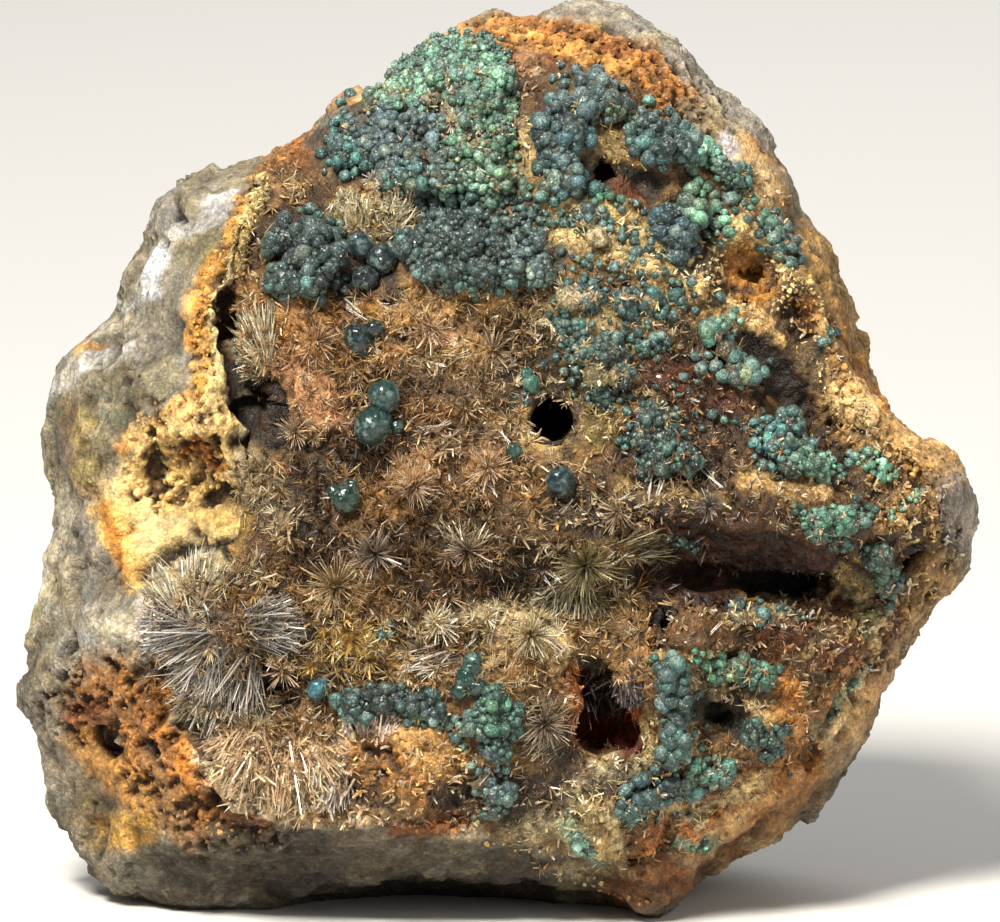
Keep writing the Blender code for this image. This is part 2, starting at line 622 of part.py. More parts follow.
def blob(name, guides, place, size, turn=(0, 0, 0), subdivisions=1):
    """An egg-shaped cutter: its middle, its half sizes in millimetres, and its turn in degrees."""
    mesh = bpy.data.meshes.new(name)
    shape = bmesh.new()
    placed = (
        Matrix.Translation(place)
        @ Euler([math.radians(angle) for angle in turn]).to_matrix().to_4x4()
        @ Matrix.Diagonal((*[half * MM for half in size], 1))
    )
    bmesh.ops.create_icosphere(shape, subdivisions=subdivisions, radius=1.0, matrix=placed)
    shape.to_mesh(mesh)
    shape.free()
    return new_object(name, mesh, guides)


def hollow_cutters(lump_mesh, guides):
    """Everything that is open in the front, each sunk to its depth below the surface, and the arch below it."""
    tree = tree_of(lump_mesh)
    cutters = []
    for name, (x, y, sunk, size, turn, subdivisions) in HOLLOWS.items():
        surface, _ = front_of(tree, x, y)
        cutters.append(blob(name, guides, surface - Vector((0, 0, sunk * MM)), size, turn, subdivisions))
    for name, (place, size) in ARCHES.items():
        cutters.append(blob(name, guides, Vector(place) * MM, size, subdivisions=2))
    return cutters


def trim_base(mesh):
    """Cuts the lump off flat at its base, which is level once the lump leans back."""
    level = Vector((0, math.cos(LEAN_BACK), math.sin(LEAN_BACK)))
    shape = bmesh.new()
    shape.from_mesh(mesh)
    everything = shape.verts[:] + shape.edges[:] + shape.faces[:]
    bmesh.ops.bisect_plane(
        shape,
        geom=everything,
        dist=MERGE_WITHIN,
        plane_co=-level * BASE_DROP,
        plane_no=level,
        clear_inner=True,
    )
    rim = [edge for edge in shape.edges if edge.is_boundary]
    bmesh.ops.contextual_create(shape, geom=rim)
    bmesh.ops.recalc_face_normals(shape, faces=shape.faces)
    shape.to_mesh(mesh)
    shape.free()


def make_rock(lump_mesh, recess, cutters, group):
    """The rock: the lump on its flat base, with a recess that holds the crystals' lining."""
    mesh = lump_mesh.copy()
    trim_base(mesh)
    rock = new_object("host_rock", mesh, group)
    boolean(rock, recess)
    for cutter in cutters:
        boolean(rock, cutter)
    rock.data.materials.append(material("host_rock", (0.27, 0.21, 0.15), 0.9))
    return rock


def make_crust(skin_mesh, inner, lining, cutters, group):
    """The crystals' lining: the front of the skin, as far down as its back."""
    crust = new_object("hemimorphite_crust", skin_mesh.copy(), group)
    boolean(crust, lining, "INTERSECT")
    boolean(crust, inner)
    for cutter in cutters:
        boolean(crust, cutter)
    crust.data.materials.append(material("hemimorphite_crust", (0.42, 0.26, 0.14), 0.45))
    return crust


def stand_up(group):
    """Leans the nodes back and lifts them, so that the base is level at height 0 under the middle."""
    lean = Matrix.Rotation(math.pi / 2 - LEAN_BACK, 4, "X")
    corners = []
    for node in group.objects:
        corners += [lean @ vertex.co for vertex in settled_mesh(node).vertices]
    low = [min(corner[axis] for corner in corners) for axis in range(3)]
    high = [max(corner[axis] for corner in corners) for axis in range(3)]
    stand = bpy.data.objects.new("stand", None)
    group.objects.link(stand)
    shift = Matrix.Translation((-(low[0] + high[0]) / 2, -(low[1] + high[1]) / 2, -low[2]))
    stand.matrix_world = shift @ lean
    for node in bpy.data.objects:
        if node != stand:
            node.parent = stand
    bpy.context.view_layer.update()


def main():
    clear_scene()
    group = new_collection("Hemimorphite specimen")
    guides = new_collection("Cutters", hidden=True)
    lump = make_lump(guides)
    lump_mesh = settled_mesh(lump)
    skin = new_object("skin", lump_mesh.copy(), guides)
    sprays = make_sprays(lump_mesh, guides)
    boolean(skin, sprays, "UNION", overlapping=True)
    skin_mesh = settled_mesh(skin)

    inner = lowered(lump_mesh, "crust back", CRUST_THICKNESS, guides)
    thin_out(inner, INNER_FACES_KEPT)
    inner_mesh = settled_mesh(inner)
    rock_front = lowered(inner_mesh, "rock front", JOINT_GAP, guides)
    lining = prism("lining", LINING, guides)
    recess = prism("recess", LINING, guides, grow=JOINT_GAP)
    boolean(recess, rock_front)

    cutters = hollow_cutters(lump_mesh, guides)
    make_rock(lump_mesh, recess, cutters, group)
    make_crust(skin_mesh, inner, lining, cutters, group)

    trim = lowered(skin_mesh, "ball seat", -SEAT_GAP, guides)
    tree = tree_of(skin_mesh)
    grown = {name: balls_inside(*shape, random.Random(name)) for name, shape in CLUSTERS.items()}
    grown |= {name: balls_along(*shape, random.Random(name)) for name, shape in BALL_ROWS.items()}
    for name, balls in grown.items():
        make_balls(name, balls, tree, trim, guides, group, subdivisions=1)
    for name, balls in SINGLE_BALLS.items():
        make_balls(name, balls, tree, trim, guides, group, subdivisions=2)
    stand_up(group)


main()
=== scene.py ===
"""Hemimorphite specimen: the looks of its host rock, its lining of needle crystals and its blue-green balls.

Places on the front are given on the front drawing: x to the right and y down, in tenths of a millimetre.
"""

import logging
import math
from dataclasses import dataclass, fields
from enum import Enum

import bpy
import numpy as np
from mathutils import Matrix, Vector
from mathutils.bvhtree import BVHTree


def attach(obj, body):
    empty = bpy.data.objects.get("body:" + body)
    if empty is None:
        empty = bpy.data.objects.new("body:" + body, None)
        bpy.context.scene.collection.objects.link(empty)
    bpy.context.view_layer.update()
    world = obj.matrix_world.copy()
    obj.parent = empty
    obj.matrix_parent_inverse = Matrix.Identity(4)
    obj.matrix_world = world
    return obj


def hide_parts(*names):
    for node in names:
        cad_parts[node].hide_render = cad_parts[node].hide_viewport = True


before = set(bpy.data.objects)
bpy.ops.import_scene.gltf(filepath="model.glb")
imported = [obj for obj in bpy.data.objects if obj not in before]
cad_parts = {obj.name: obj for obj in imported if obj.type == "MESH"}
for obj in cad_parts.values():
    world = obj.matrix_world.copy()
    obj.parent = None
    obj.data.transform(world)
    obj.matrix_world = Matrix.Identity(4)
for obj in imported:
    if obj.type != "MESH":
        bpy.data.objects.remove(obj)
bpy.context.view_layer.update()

LOG = logging.getLogger("specimen")
MM = 0.001
TINT = "tint"

Points = np.ndarray
Colour = tuple[float, float, float]
Socket = bpy.types.NodeSocket
Thing = bpy.types.Object


class Slot(Enum):
    """What a piece is made of."""

    ROCK = "rock"
    CRYSTALS = "crystals"
    TEAL = "teal_balls"
    DARK = "dark_balls"
    BLUE_GREY = "blue_grey_balls"
    GREEN = "green_balls"
    TURQUOISE = "turquoise_balls"
    SLATE = "slate_balls"
    LIGHT_TEAL = "light_teal_balls"


def hue(code: str) -> Points:
    """Linear colour of a six-digit screen colour code."""
    parts = np.array([int(code[i : i + 2], 16) / 255 for i in (0, 2, 4)])
    return np.where(parts <= 0.04045, parts / 12.92, ((parts + 0.055) / 1.055) ** 2.4)


def ramp(low: float, high: float, values: Points) -> Points:
    """Smooth step from 0 at low to 1 at high."""
    t = np.clip((values - low) / (high - low), 0.0, 1.0)
    return t * t * (3 - 2 * t)


def mix(first: Points, second: Points, share: Points) -> Points:
    """Colours part of the way from first to second, point by point."""
    return first + (second - first) * np.asarray(share)[:, None]


def unit(rows: Points) -> Points:
    """Rows scaled to length 1."""
    return rows / np.maximum(np.linalg.norm(rows, axis=-1, keepdims=True), 1e-12)


@dataclass(frozen=True)
class Drawing:
    """The front drawing and how it leans in the world."""

    unit: float = 0.1 * MM
    middle: tuple[float, float] = (500.0, 461.0)
    lean: float = math.radians(10)
    shift: tuple[float, float, float] = (0.000303, -0.000347, 0.0426)

    def matrix(self) -> Matrix:
        """Turns and lifts the drawing into the world."""
        return Matrix.Translation(self.shift) @ Matrix.Rotation(math.pi / 2 - self.lean, 4, "X")

    def to_world(self, places: Points) -> Points:
        """World points of drawing places.

        Args:
            places: rows of x, y and height towards the viewer.

        Returns:
            Rows of world coordinates in metres.
        """
        flat = (np.array(places, float).reshape(-1, 3) - (*self.middle, 0.0)) * (self.unit, -self.unit, self.unit)
        turn = np.array(self.matrix())
        return flat @ turn[:3, :3].T + turn[:3, 3]

    def to_sheet(self, points: Points) -> Points:
        """Drawing places, with height towards the viewer, of world points.

        Args:
            points: rows of world coordinates.

        Returns:
            Rows of x, y and height.
        """
        turn = np.array(self.matrix())
        flat = (np.asarray(points) - turn[:3, 3]) @ turn[:3, :3]
        return flat / (self.unit, -self.unit, self.unit) + (*self.middle, 0.0)

    def direction(self, right: float, down: float, near: float) -> Points:
        """World direction of a drawing direction."""
        turn = np.array(self.matrix())[:3, :3]
        return unit(turn @ np.array((right, -down, near)))


DRAWING = Drawing()
VIEWER = DRAWING.direction(0, 0, 1)


class Grain:
    """Seeded noise on lattices, worked out for many points at once."""

    PRIMES = (73856093, 19349663, 83492791)
    VALUES = 65536
    LAYER_STEP = 17.3
    RIDGE_STEP = 9.1

    def __init__(self, seed: int) -> None:
        """Draws the lattice values of a seed."""
        self.values = np.random.default_rng(seed).random((4, self.VALUES))

    def _pick(self, cells: Points, row: int) -> Points:
        """Lattice value of each cell."""
        x, y, z = (cells[..., i].astype(np.int64) * prime for i, prime in enumerate(self.PRIMES))
        return self.values[row][(x ^ y ^ z) & (self.VALUES - 1)]

    def smooth(self, points: Points, size: float) -> Points:
        """Smooth noise from -1 to 1 with bumps of the given size.

        Args:
            points: rows of world coordinates.
            size: width of a bump in metres.

        Returns:
            One value for each point.
        """
        at = points / size
        low = np.floor(at)
        t = at - low
        t = t * t * t * (t * (t * 6 - 15) + 10)
        total = np.zeros(len(points))
        for corner in np.ndindex(2, 2, 2):
            share = np.prod(np.where(np.array(corner) == 1, t, 1 - t), axis=1)
            total += share * self._pick(low + corner, 0)
        return total * 2 - 1

    def layered(self, points: Points, size: float, layers: int, gain: float = 0.5) -> Points:
        """Smooth noise with finer and weaker layers on it.

        Args:
            points: rows of coordinates.
            size: size of the largest bumps.
            layers: how many layers.
            gain: strength of each layer against the one before.

        Returns:
            Noise of about -1 to 1.
        """
        total = np.zeros(len(points))
        for layer in range(layers):
            total += self.smooth(points + self.LAYER_STEP * size * layer, size / 2**layer) * gain**layer
        return total * (1 - gain) / (1 - gain**layers) * 1.5

    def ridged(self, points: Points, size: float, layers: int) -> Points:
        """Noise of about 0 to 1 with sharp crests.

        Args:
            points: rows of world coordinates.
            size: distance between crests in metres.
            layers: how many finer layers are added.

        Returns:
            One value for each point.
        """
        total = np.zeros(len(points))
        for layer in range(layers):
            shifted = points + self.RIDGE_STEP * size * layer
            total += (1 - np.abs(self.smooth(shifted, size / 2**layer)) * 2) * 0.5**layer
        return total / (2 - 0.5 ** (layers - 1))

    def cells(self, points: Points, size: float) -> tuple[Points, Points, Points]:
        """Cells round scattered seeds.

        Args:
            points: rows of coordinates.
            size: about the size of a cell.

        Returns:
            Distance to the nearest seed and to the next one, in cell sizes, and a row of four random
            numbers for the nearest cell.
        """
        at = points / size
        home = np.floor(at)
        near = np.full(len(points), 9.0)
        following = np.full(len(points), 9.0)
        kept = np.zeros((len(points), 4))
        for step in np.ndindex(3, 3, 3):
            cell = home + (np.array(step) - 1)
            picks = np.stack([self._pick(cell, row) for row in range(4)], axis=1)
            away = np.linalg.norm(cell + picks[:, :3] - at, axis=1)
            closer = away < near
            following = np.where(closer, near, np.minimum(following, away))
            near = np.where(closer, away, near)
            kept[closer] = picks[closer]
        return near, following, kept


GRAIN = Grain(11)


class Chain:
    """Places on the drawing, joined by straight lines."""

    FAR = 1e6

    def __init__(self, places: str) -> None:
        """Reads places written as x,y and set apart by spaces."""
        self.places = np.array([place.split(",") for place in places.split()], float)

    def distance(self, sheet: Points, reach: float) -> Points:
        """Distance on the drawing from each point to the chain, where it is within reach.

        Args:
            sheet: rows of places on the drawing.
            reach: distance past which a point need not be measured.

        Returns:
            One distance for each point, very large where it was not measured.
        """
        found = np.full(len(sheet), self.FAR)
        low, high = self.places.min(0) - reach, self.places.max(0) + reach
        near = np.flatnonzero(((sheet[:, :2] > low) & (sheet[:, :2] < high)).all(1))
        if not len(near):
            return found
        at = sheet[near, :2]
        best = np.linalg.norm(at - self.places[0], axis=1)
        for start, end in zip(self.places[:-1], self.places[1:]):
            along = end - start
            t = np.clip(((at - start) @ along) / (along @ along), 0, 1)
            best = np.minimum(best, np.linalg.norm(at - start - t[:, None] * along, axis=1))
        found[near] = best
        return found

    def along(self, shares: Points) -> Points:
        """Places at shares from 0 to 1 of the way along the chain.

        Args:
            shares: how far along each place lies.

        Returns:
            Rows of places on the drawing.
        """
        steps = np.linalg.norm(np.diff(self.places, axis=0), axis=1)
        reached = np.concatenate([[0], np.cumsum(steps)]) / steps.sum()
        return np.stack([np.interp(shares, reached, self.places[:, axis]) for axis in (0, 1)], axis=1)

    def within(self, sheet: Points) -> Points:
        """Which points lie inside the chain, closed to an outline.

        Args:
            sheet: rows of places on the drawing.

        Returns:
            True for each point inside.
        """
        found = np.zeros(len(sheet), bool)
        x, y = sheet[:, 0], sheet[:, 1]
        for (x1, y1), (x2, y2) in zip(self.places, np.roll(self.places, -1, axis=0)):
            crosses = (y1 > y) != (y2 > y)
            found ^= crosses & (x < (x2 - x1) * (y - y1) / ((y2 - y1) or 1e-9) + x1)
        return found


def scattered(draw: np.random.Generator, low: Points, high: Points, gap: float) -> Points:
    """Places strewn over a rectangle with a least distance between them.

    Args:
        draw: the random numbers.
        low: one corner.
        high: the other corner.
        gap: the least distance.

    Returns:
        Rows of x and y.
    """
    tries_a_square, cells_a_gap, reach = 7.0, 1.4143, (-2, -1, 0, 1, 2)
    span = high - low
    grid: dict[tuple[int, int], tuple[float, float]] = {}
    for x, y in low + draw.random((int(span.prod() / gap**2 * tries_a_square), 2)) * span:
        home = (int((x - low[0]) / gap * cells_a_gap), int((y - low[1]) / gap * cells_a_gap))
        if home in grid:
            continue
        near = (grid.get((home[0] + i, home[1] + j)) for i in reach for j in reach)
        if all(other is None or math.dist((x, y), other) >= gap for other in near):
            grid[home] = (x, y)
    return np.array(list(grid.values())).reshape(-1, 2)


@dataclass(frozen=True)
class Strip:
    """A part of the front: places on the drawing joined by lines, and a half width."""

    width: float
    places: str

    def away(self, sheet: Points, reach: float = 1.0) -> Points:
        """Distance from its lines in half widths, and very far where it is more than the reach."""
        return Chain(self.places).distance(sheet, self.width * reach) / self.width

    def strewn(self, draw: np.random.Generator, gap: float) -> Points:
        """Places strewn over the rectangle round it."""
        ends = Chain(self.places).places
        return scattered(draw, ends.min(0) - self.width, ends.max(0) + self.width, gap)


@dataclass(frozen=True)
class Stain(Strip):
    """A coloured strip that is sunk by its depth, or raised where that is below zero."""

    colour: str
    strength: float = 1.0
    depth: float = 0.0
    soft: float = 0.45


@dataclass(frozen=True)
class Mouth(Strip):
    """The open mouth of a hole in the crystals, and how deep its edge is drawn in."""

    depth: float


def read(kind: type, text: str) -> tuple:
    """Rows of a written table.

    Args:
        kind: the class of the rows.
        text: a line for each row, with its fields in order but its places last; # starts a heading.

    Returns:
        The rows.
    """
    plain = [field for field in fields(kind) if field.name != "places"]
    rows = []
    for line in text.splitlines():
        words = line.partition("#")[0].split()
        values = [word for word in words if "," not in word]
        if words:
            given = {field.name: field.type(word) for field, word in zip(plain, values)}
            rows.append(kind(places=" ".join(words[len(values) :]), **given))
    return tuple(rows)


@dataclass(frozen=True)
class Front:
    """The colours and the small relief of the whole front, laid on as stains, the lowest first."""

    stains: tuple[Stain, ...]
    ragged: float = 7.0
    ragged_size: float = 2.2 * MM
    speckle: float = 1.3
    speckle_size: float = 0.8 * MM
    fades: tuple[float, float] = (-0.5, -0.15)

    def lay(self, points: Points, base: Points, facing: Points) -> tuple[Points, Points]:
        """Lays the stains over base colours, with ragged and speckled edges.

        Args:
            points: rows of world coordinates.
            base: rows of colours before the stains.
            facing: how much each point faces the viewer. Stains fade on what faces away.

        Returns:
            Rows of colours, and how deep each point is sunk, in drawing units.
        """
        sheet = DRAWING.to_sheet(points)
        for axis in (0, 1):
            sheet[:, axis] += GRAIN.layered(points + 3 * axis * MM, self.ragged_size, 4, 0.65) * self.ragged
        speckle = GRAIN.layered(points, self.speckle_size, 3, 0.75) * self.speckle
        seen = ramp(*self.fades, facing)
        sunk = np.zeros(len(points))
        base = np.array(base)
        for stain in self.stains:
            away = stain.away(sheet, 1 + stain.soft)
            near = np.flatnonzero(away < 1 + stain.soft)
            share = ramp(1 + stain.soft, 1 - stain.soft, away[near]) * stain.strength
            share = np.clip(share * (1 + speckle[near] * (1.25 - share)), 0, 1) * seen[near]
            base[near] = mix(base[near], hue(stain.colour), share)
            if stain.depth > 0:
                sunk[near] = np.maximum(sunk[near], share * stain.depth)
            else:
                sunk[near] += share * stain.depth
        return base, sunk


def alone(thing: Thing) -> None:
    """Selects one object alone and makes it active.

    Args:
        thing: the object.
    """
    bpy.ops.object.select_all(action="DESELECT")
    thing.select_set(True)
    bpy.context.view_layer.objects.active = thing


def modify(thing: Thing, kind: str, **settings: object) -> None:
    """Adds a modifier and applies it.

    Args:
        thing: the object.
        kind: the modifier's type.
        settings: values of the modifier.
    """
    alone(thing)
    modifier = thing.modifiers.new(kind.lower(), kind)
    for key, value in settings.items():
        setattr(modifier, key, value)
    bpy.ops.object.modifier_apply(modifier=modifier.name)


def in_edit(thing: Thing, *steps: tuple[str, dict[str, object]]) -> None:
    """Runs mesh operators on everything in one object.

    Args:
        thing: the object.
        steps: operator names, each with its settings.
    """
    alone(thing)
    bpy.ops.object.mode_set(mode="EDIT")
    bpy.ops.mesh.select_all(action="SELECT")
    for name, settings in steps:
        group, _, word = name.rpartition(".")
        getattr(getattr(bpy.ops, group or "mesh"), word)(**settings)
    bpy.ops.object.mode_set(mode="OBJECT")


def merged_copy(node: str, name: str) -> Thing:
    """A copy of a CAD node as one welded mesh under a new name.

    Args:
        node: name of the CAD node.
        name: name of the copy.

    Returns:
        The copy.
    """
    made = bpy.data.objects.new(name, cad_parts[node].data.copy())
    bpy.context.scene.collection.objects.link(made)
    made.data.materials.clear()
    in_edit(made, ("remove_doubles", {"threshold": 0.01 * MM}))
    return made


def rows_of(items: bpy.types.bpy_prop_collection, name: str) -> Points:
    """A vector property of many vertices or faces, as rows.

    Args:
        items: vertices or faces of a mesh.
        name: the property, a vector of three.

    Returns:
        One row for each item.
    """
    flat = np.zeros(len(items) * 3)
    items.foreach_get(name, flat)
    return flat.reshape(-1, 3)


def set_vertices(thing: Thing, points: Points) -> None:
    """Moves an object's vertices to new places."""
    thing.data.vertices.foreach_set("co", np.ascontiguousarray(points, np.float32).ravel())
    thing.data.update()


def set_tint(thing: Thing, colours: Points) -> None:
    """Stores a colour on each vertex.

    Args:
        thing: the object.
        colours: one row of red, green and blue for each vertex.
    """
    made = thing.data.attributes.new(TINT, "FLOAT_COLOR", "POINT")
    rows = np.column_stack([np.clip(colours, 0, 1), np.ones(len(colours))])
    made.data.foreach_set("color", rows.astype(np.float32).ravel())


def refine(thing: Thing, chosen: Points) -> None:
    """Divides the chosen faces of an object into four.

    Args:
        thing: the object.
        chosen: true for each face to divide.
    """
    alone(thing)
    bpy.ops.object.mode_set(mode="EDIT")
    bpy.ops.mesh.select_mode(type="FACE")
    bpy.ops.mesh.select_all(action="DESELECT")
    bpy.ops.object.mode_set(mode="OBJECT")
    thing.data.polygons.foreach_set("select", chosen)
    bpy.ops.object.mode_set(mode="EDIT")
    bpy.ops.mesh.subdivide(number_cuts=1)
    bpy.ops.object.mode_set(mode="OBJECT")


class Kit:
    """Builds one material's node tree."""

    def __init__(self, name: str) -> None:
        """Starts a material with its shader and output.

        Args:
            name: the name of the material.
        """
        self.material = bpy.data.materials.new(name)
        self.material.use_nodes = True
        self.tree = self.material.node_tree
        self.shader = self.tree.nodes["Principled BSDF"]

    def add(self, kind: str, **settings: object) -> bpy.types.Node:
        """Adds a node with the given settings.

        Args:
            kind: type of the node.
            settings: its properties.

        Returns:
            The node.
        """
        made = self.tree.nodes.new(kind)
        for key, value in settings.items():
            setattr(made, key, value)
        return made

    def feed(self, target: Socket, value: object) -> None:
        """Links or sets an input.

        Args:
            target: the input.
            value: a socket to link, or a plain value.
        """
        if isinstance(value, Socket):
            self.tree.links.new(value, target)
        else:
            target.default_value = value

    def at(self) -> Socket:
        """Object coordinates."""
        return self.add("ShaderNodeTexCoord").outputs["Object"]

    def tint(self) -> Socket:
        """The colour stored on the vertices."""
        return self.add("ShaderNodeAttribute", attribute_name=TINT).outputs["Color"]

    def noise(self, size: float, detail: float = 3.0, rough: float = 0.6) -> Socket:
        """Noise on object coordinates with bumps of the given size in metres.

        Args:
            size: width of a bump in metres.
            detail: layers of finer noise.
            rough: how strong the finer layers are.

        Returns:
            The noise, from 0 to 1.
        """
        made = self.add("ShaderNodeTexNoise")
        for key, value in (("Scale", 1 / size), ("Detail", detail), ("Roughness", rough), ("Vector", self.at())):
            self.feed(made.inputs[key], value)
        return made.outputs["Fac"]

    def cells(self, size: float) -> tuple[Socket, Socket]:
        """Distance to scattered seeds on object coordinates, and a random value for each seed's cell.

        Args:
            size: distance between seeds in metres.

        Returns:
            The distance and the random value.
        """
        made = self.add("ShaderNodeTexVoronoi")
        self.feed(made.inputs["Scale"], 1 / size)
        self.feed(made.inputs["Vector"], self.at())
        parts = self.add("ShaderNodeSeparateColor")
        self.feed(parts.inputs["Color"], made.outputs["Color"])
        return made.outputs["Distance"], parts.outputs["Red"]

    def span(self, source: Socket, low: float, high: float, to_low: float, to_high: float) -> Socket:
        """Maps a value from one range to another, held within it.

        Args:
            source: the value.
            low: start of its range.
            high: end of its range.
            to_low: what low becomes.
            to_high: what high becomes.

        Returns:
            The mapped value.
        """
        made = self.add("ShaderNodeMapRange")
        values = (source, low, high, to_low, to_high)
        for key, value in zip(("Value", "From Min", "From Max", "To Min", "To Max"), values):
            self.feed(made.inputs[key], value)
        return made.outputs["Result"]

    def _combine(self, kind: str, operation: str, first: object, second: object, into: int | str = 1) -> Socket:
        """Adds a node that works on two inputs, the second of which has a number or a name.

        Args:
            kind: type of the node.
            operation: what it does.
            first: its first input.
            second: its second input.
            into: number or name of the second input.

        Returns:
            Its result.
        """
        made = self.add(kind, operation=operation)
        self.feed(made.inputs[0], first)
        self.feed(made.inputs[into], second)
        return made.outputs[0]

    def times(self, first: Socket, second: Socket) -> Socket:
        """Product of two values."""
        return self._combine("ShaderNodeMath", "MULTIPLY", first, second)

    def scaled(self, colour: Socket, by: Socket) -> Socket:
        """A colour made lighter or darker by a value."""
        return self._combine("ShaderNodeVectorMath", "SCALE", colour, by, "Scale")

    def tinted(self, colour: Socket, by: Colour) -> Socket:
        """A colour multiplied by a plain colour."""
        return self._combine("ShaderNodeVectorMath", "MULTIPLY", colour, by)

    def blend(self, factor: Socket, first: object, second: object) -> Socket:
        """Mixes two colours, each a socket or a plain colour.

        Args:
            factor: share of the second colour.
            first: the colour at 0.
            second: the colour at 1.

        Returns:
            The mixed colour.
        """
        made = self.add("ShaderNodeMix", data_type="RGBA")
        for key, value in zip((0, 6, 7), (factor, first, second)):
            self.feed(made.inputs[key], value)
        return made.outputs[2]

    def bump(self, height: Socket, depth: float, strength: float, below: Socket | None = None) -> Socket:
        """Bump of the given depth in metres, on top of another one.

        Args:
            height: relief from 0 to 1.
            depth: height of the relief in metres.
            strength: how much of it is used.
            below: normal that it is laid over.

        Returns:
            The new normal.
        """
        made = self.add("ShaderNodeBump")
        made.inputs["Distance"].default_value = depth
        made.inputs["Strength"].default_value = strength
        self.feed(made.inputs["Height"], height)
        if below is not None:
            self.feed(made.inputs["Normal"], below)
        return made.outputs["Normal"]

    def finish(self, **values: object) -> bpy.types.Material:
        """Feeds the shader's inputs, named with _ for a space, and gives the material.

        Args:
            values: the shader's inputs.

        Returns:
            The material.
        """
        for key, value in values.items():
            self.feed(self.shader.inputs[key.replace("_", " ")], value)
        return self.material


@dataclass(frozen=True)
class StoneFinish:
    """Broken rock: the stored colour, in fine crystalline grains that differ from each other."""

    name: str = "broken_rock"
    coarse: float = 1.3 * MM
    grain: float = 0.34 * MM
    lump: float = 0.9 * MM
    fine: float = 0.16 * MM
    contrast: float = 0.26
    roughness: float = 0.75
    glint: float = 0.4
    film: float = 0.6
    film_size: float = 2.6 * MM
    film_tone: Colour = (1.0, 0.86, 0.58)
    speck: float = 0.6 * MM

    def make(self) -> bpy.types.Material:
        """Builds the material.

        Returns:
            The material.
        """
        kit = Kit(self.name)
        low, high = 1 - self.contrast, 1 + self.contrast
        coarse, fine = kit.noise(self.coarse, 5, 0.7), kit.noise(self.fine, 3, 0.65)
        (grain, grain_value), (lump, lump_value) = kit.cells(self.grain), kit.cells(self.lump)
        shade = kit.times(kit.span(coarse, 0.32, 0.68, low, high), kit.span(grain_value, 0.0, 1.0, low, high))
        shade = kit.times(shade, kit.span(lump_value, 0.0, 1.0, 0.85, 1.15))
        shade = kit.times(shade, kit.span(grain, 0.35, 0.75, 1.05, 0.82))
        shade = kit.times(shade, kit.span(kit.noise(self.speck, 3, 0.7), 0.3, 0.42, 0.55, 1.0))
        film = kit.span(kit.noise(self.film_size, 5, 0.7), 0.45, 0.65, 0.0, self.film)
        stone = kit.blend(film, kit.tint(), kit.tinted(kit.tint(), self.film_tone))
        normal = None
        for height, depth, strength in (
            (coarse, 0.45 * MM, 0.7), (lump, -0.3 * MM, 0.6), (grain, -0.16 * MM, 0.8), (fine, 0.08 * MM, 0.7)
        ):
            normal = kit.bump(height, depth, strength, normal)
        return kit.finish(
            Base_Color=kit.scaled(stone, shade),
            Normal=normal,
            Roughness=kit.span(grain_value, 0.7, 1.0, self.roughness, self.roughness - 0.4),
            Specular_IOR_Level=self.glint,
        )


@dataclass(frozen=True)
class NeedleFinish:
    """Glassy needle crystals: the stored colour, part of the light passing through."""

    name: str = "needle_crystal"
    passing: float = 0.22
    roughness: float = 0.18
    streak: float = 0.14 * MM

    def make(self) -> bpy.types.Material:
        """Builds the material.

        Returns:
            The material.
        """
        kit = Kit(self.name)
        streak = kit.noise(self.streak, 2, 0.5)
        return kit.finish(
            Base_Color=kit.scaled(kit.tint(), kit.span(streak, 0.3, 0.7, 0.7, 1.3)),
            Roughness=kit.span(streak, 0.3, 0.7, self.roughness, self.roughness + 0.3),
            Transmission_Weight=self.passing,
            IOR=1.61,
        )


@dataclass(frozen=True)
class BallFinish:
    """Blue-green balls: the stored colour under a sugary druse of tiny crystals, with pale patches that are painted
    reflections.
    """

    name: str = "blue_green_ball"
    druse: float = 0.2 * MM
    roughness: float = 0.45
    uneven: float = 0.5
    frosted: float = 0.5
    patch: float = 0.0
    patch_size: float = 1.1 * MM
    cloud: float = 0.55 * MM
    grain: float = 0.09 * MM
    gloss: float = 0.2
    sheen: float = 0.18
    sheen_tone: tuple[float, float, float, float] = (0.6, 0.75, 0.7, 1.0)
    frost: tuple[float, float, float, float] = (0.24, 0.35, 0.3, 1.0)

    def make(self) -> bpy.types.Material:
        """Builds the material.

        Returns:
            The material.
        """
        kit = Kit(self.name)
        cloud, grain = kit.noise(self.cloud, 4, 0.65), kit.noise(self.grain, 2, 0.6)
        druse, value = kit.cells(self.druse)
        low, high = 1 - self.uneven, 1 + self.uneven
        shade = kit.times(kit.span(cloud, 0.3, 0.7, low, high), kit.span(value, 0.0, 1.0, low, high))
        shade = kit.times(shade, kit.span(druse, 0.3, 0.75, 1.15, 0.55))
        colour = kit.blend(kit.span(value, 0.78, 1.0, 0.0, self.frosted), kit.scaled(kit.tint(), shade), self.frost)
        # Pale patches laid by noise: painted reflections.
        patch = kit.span(kit.noise(self.patch_size, 4, 0.6), 0.56, 0.64, 0.0, self.patch)
        colour = kit.blend(patch, colour, self.frost)
        normal = kit.bump(druse, -0.12 * MM, self.uneven * 1.5)
        return kit.finish(
            Base_Color=colour,
            Normal=kit.bump(grain, 0.05 * MM, self.uneven, normal),
            Roughness=kit.span(value, 0.6, 1.0, self.roughness, self.roughness * 0.4),
            Coat_Weight=self.gloss,
            Coat_Roughness=0.15,
            Sheen_Weight=self.sheen,
            Sheen_Tint=self.sheen_tone,
        )


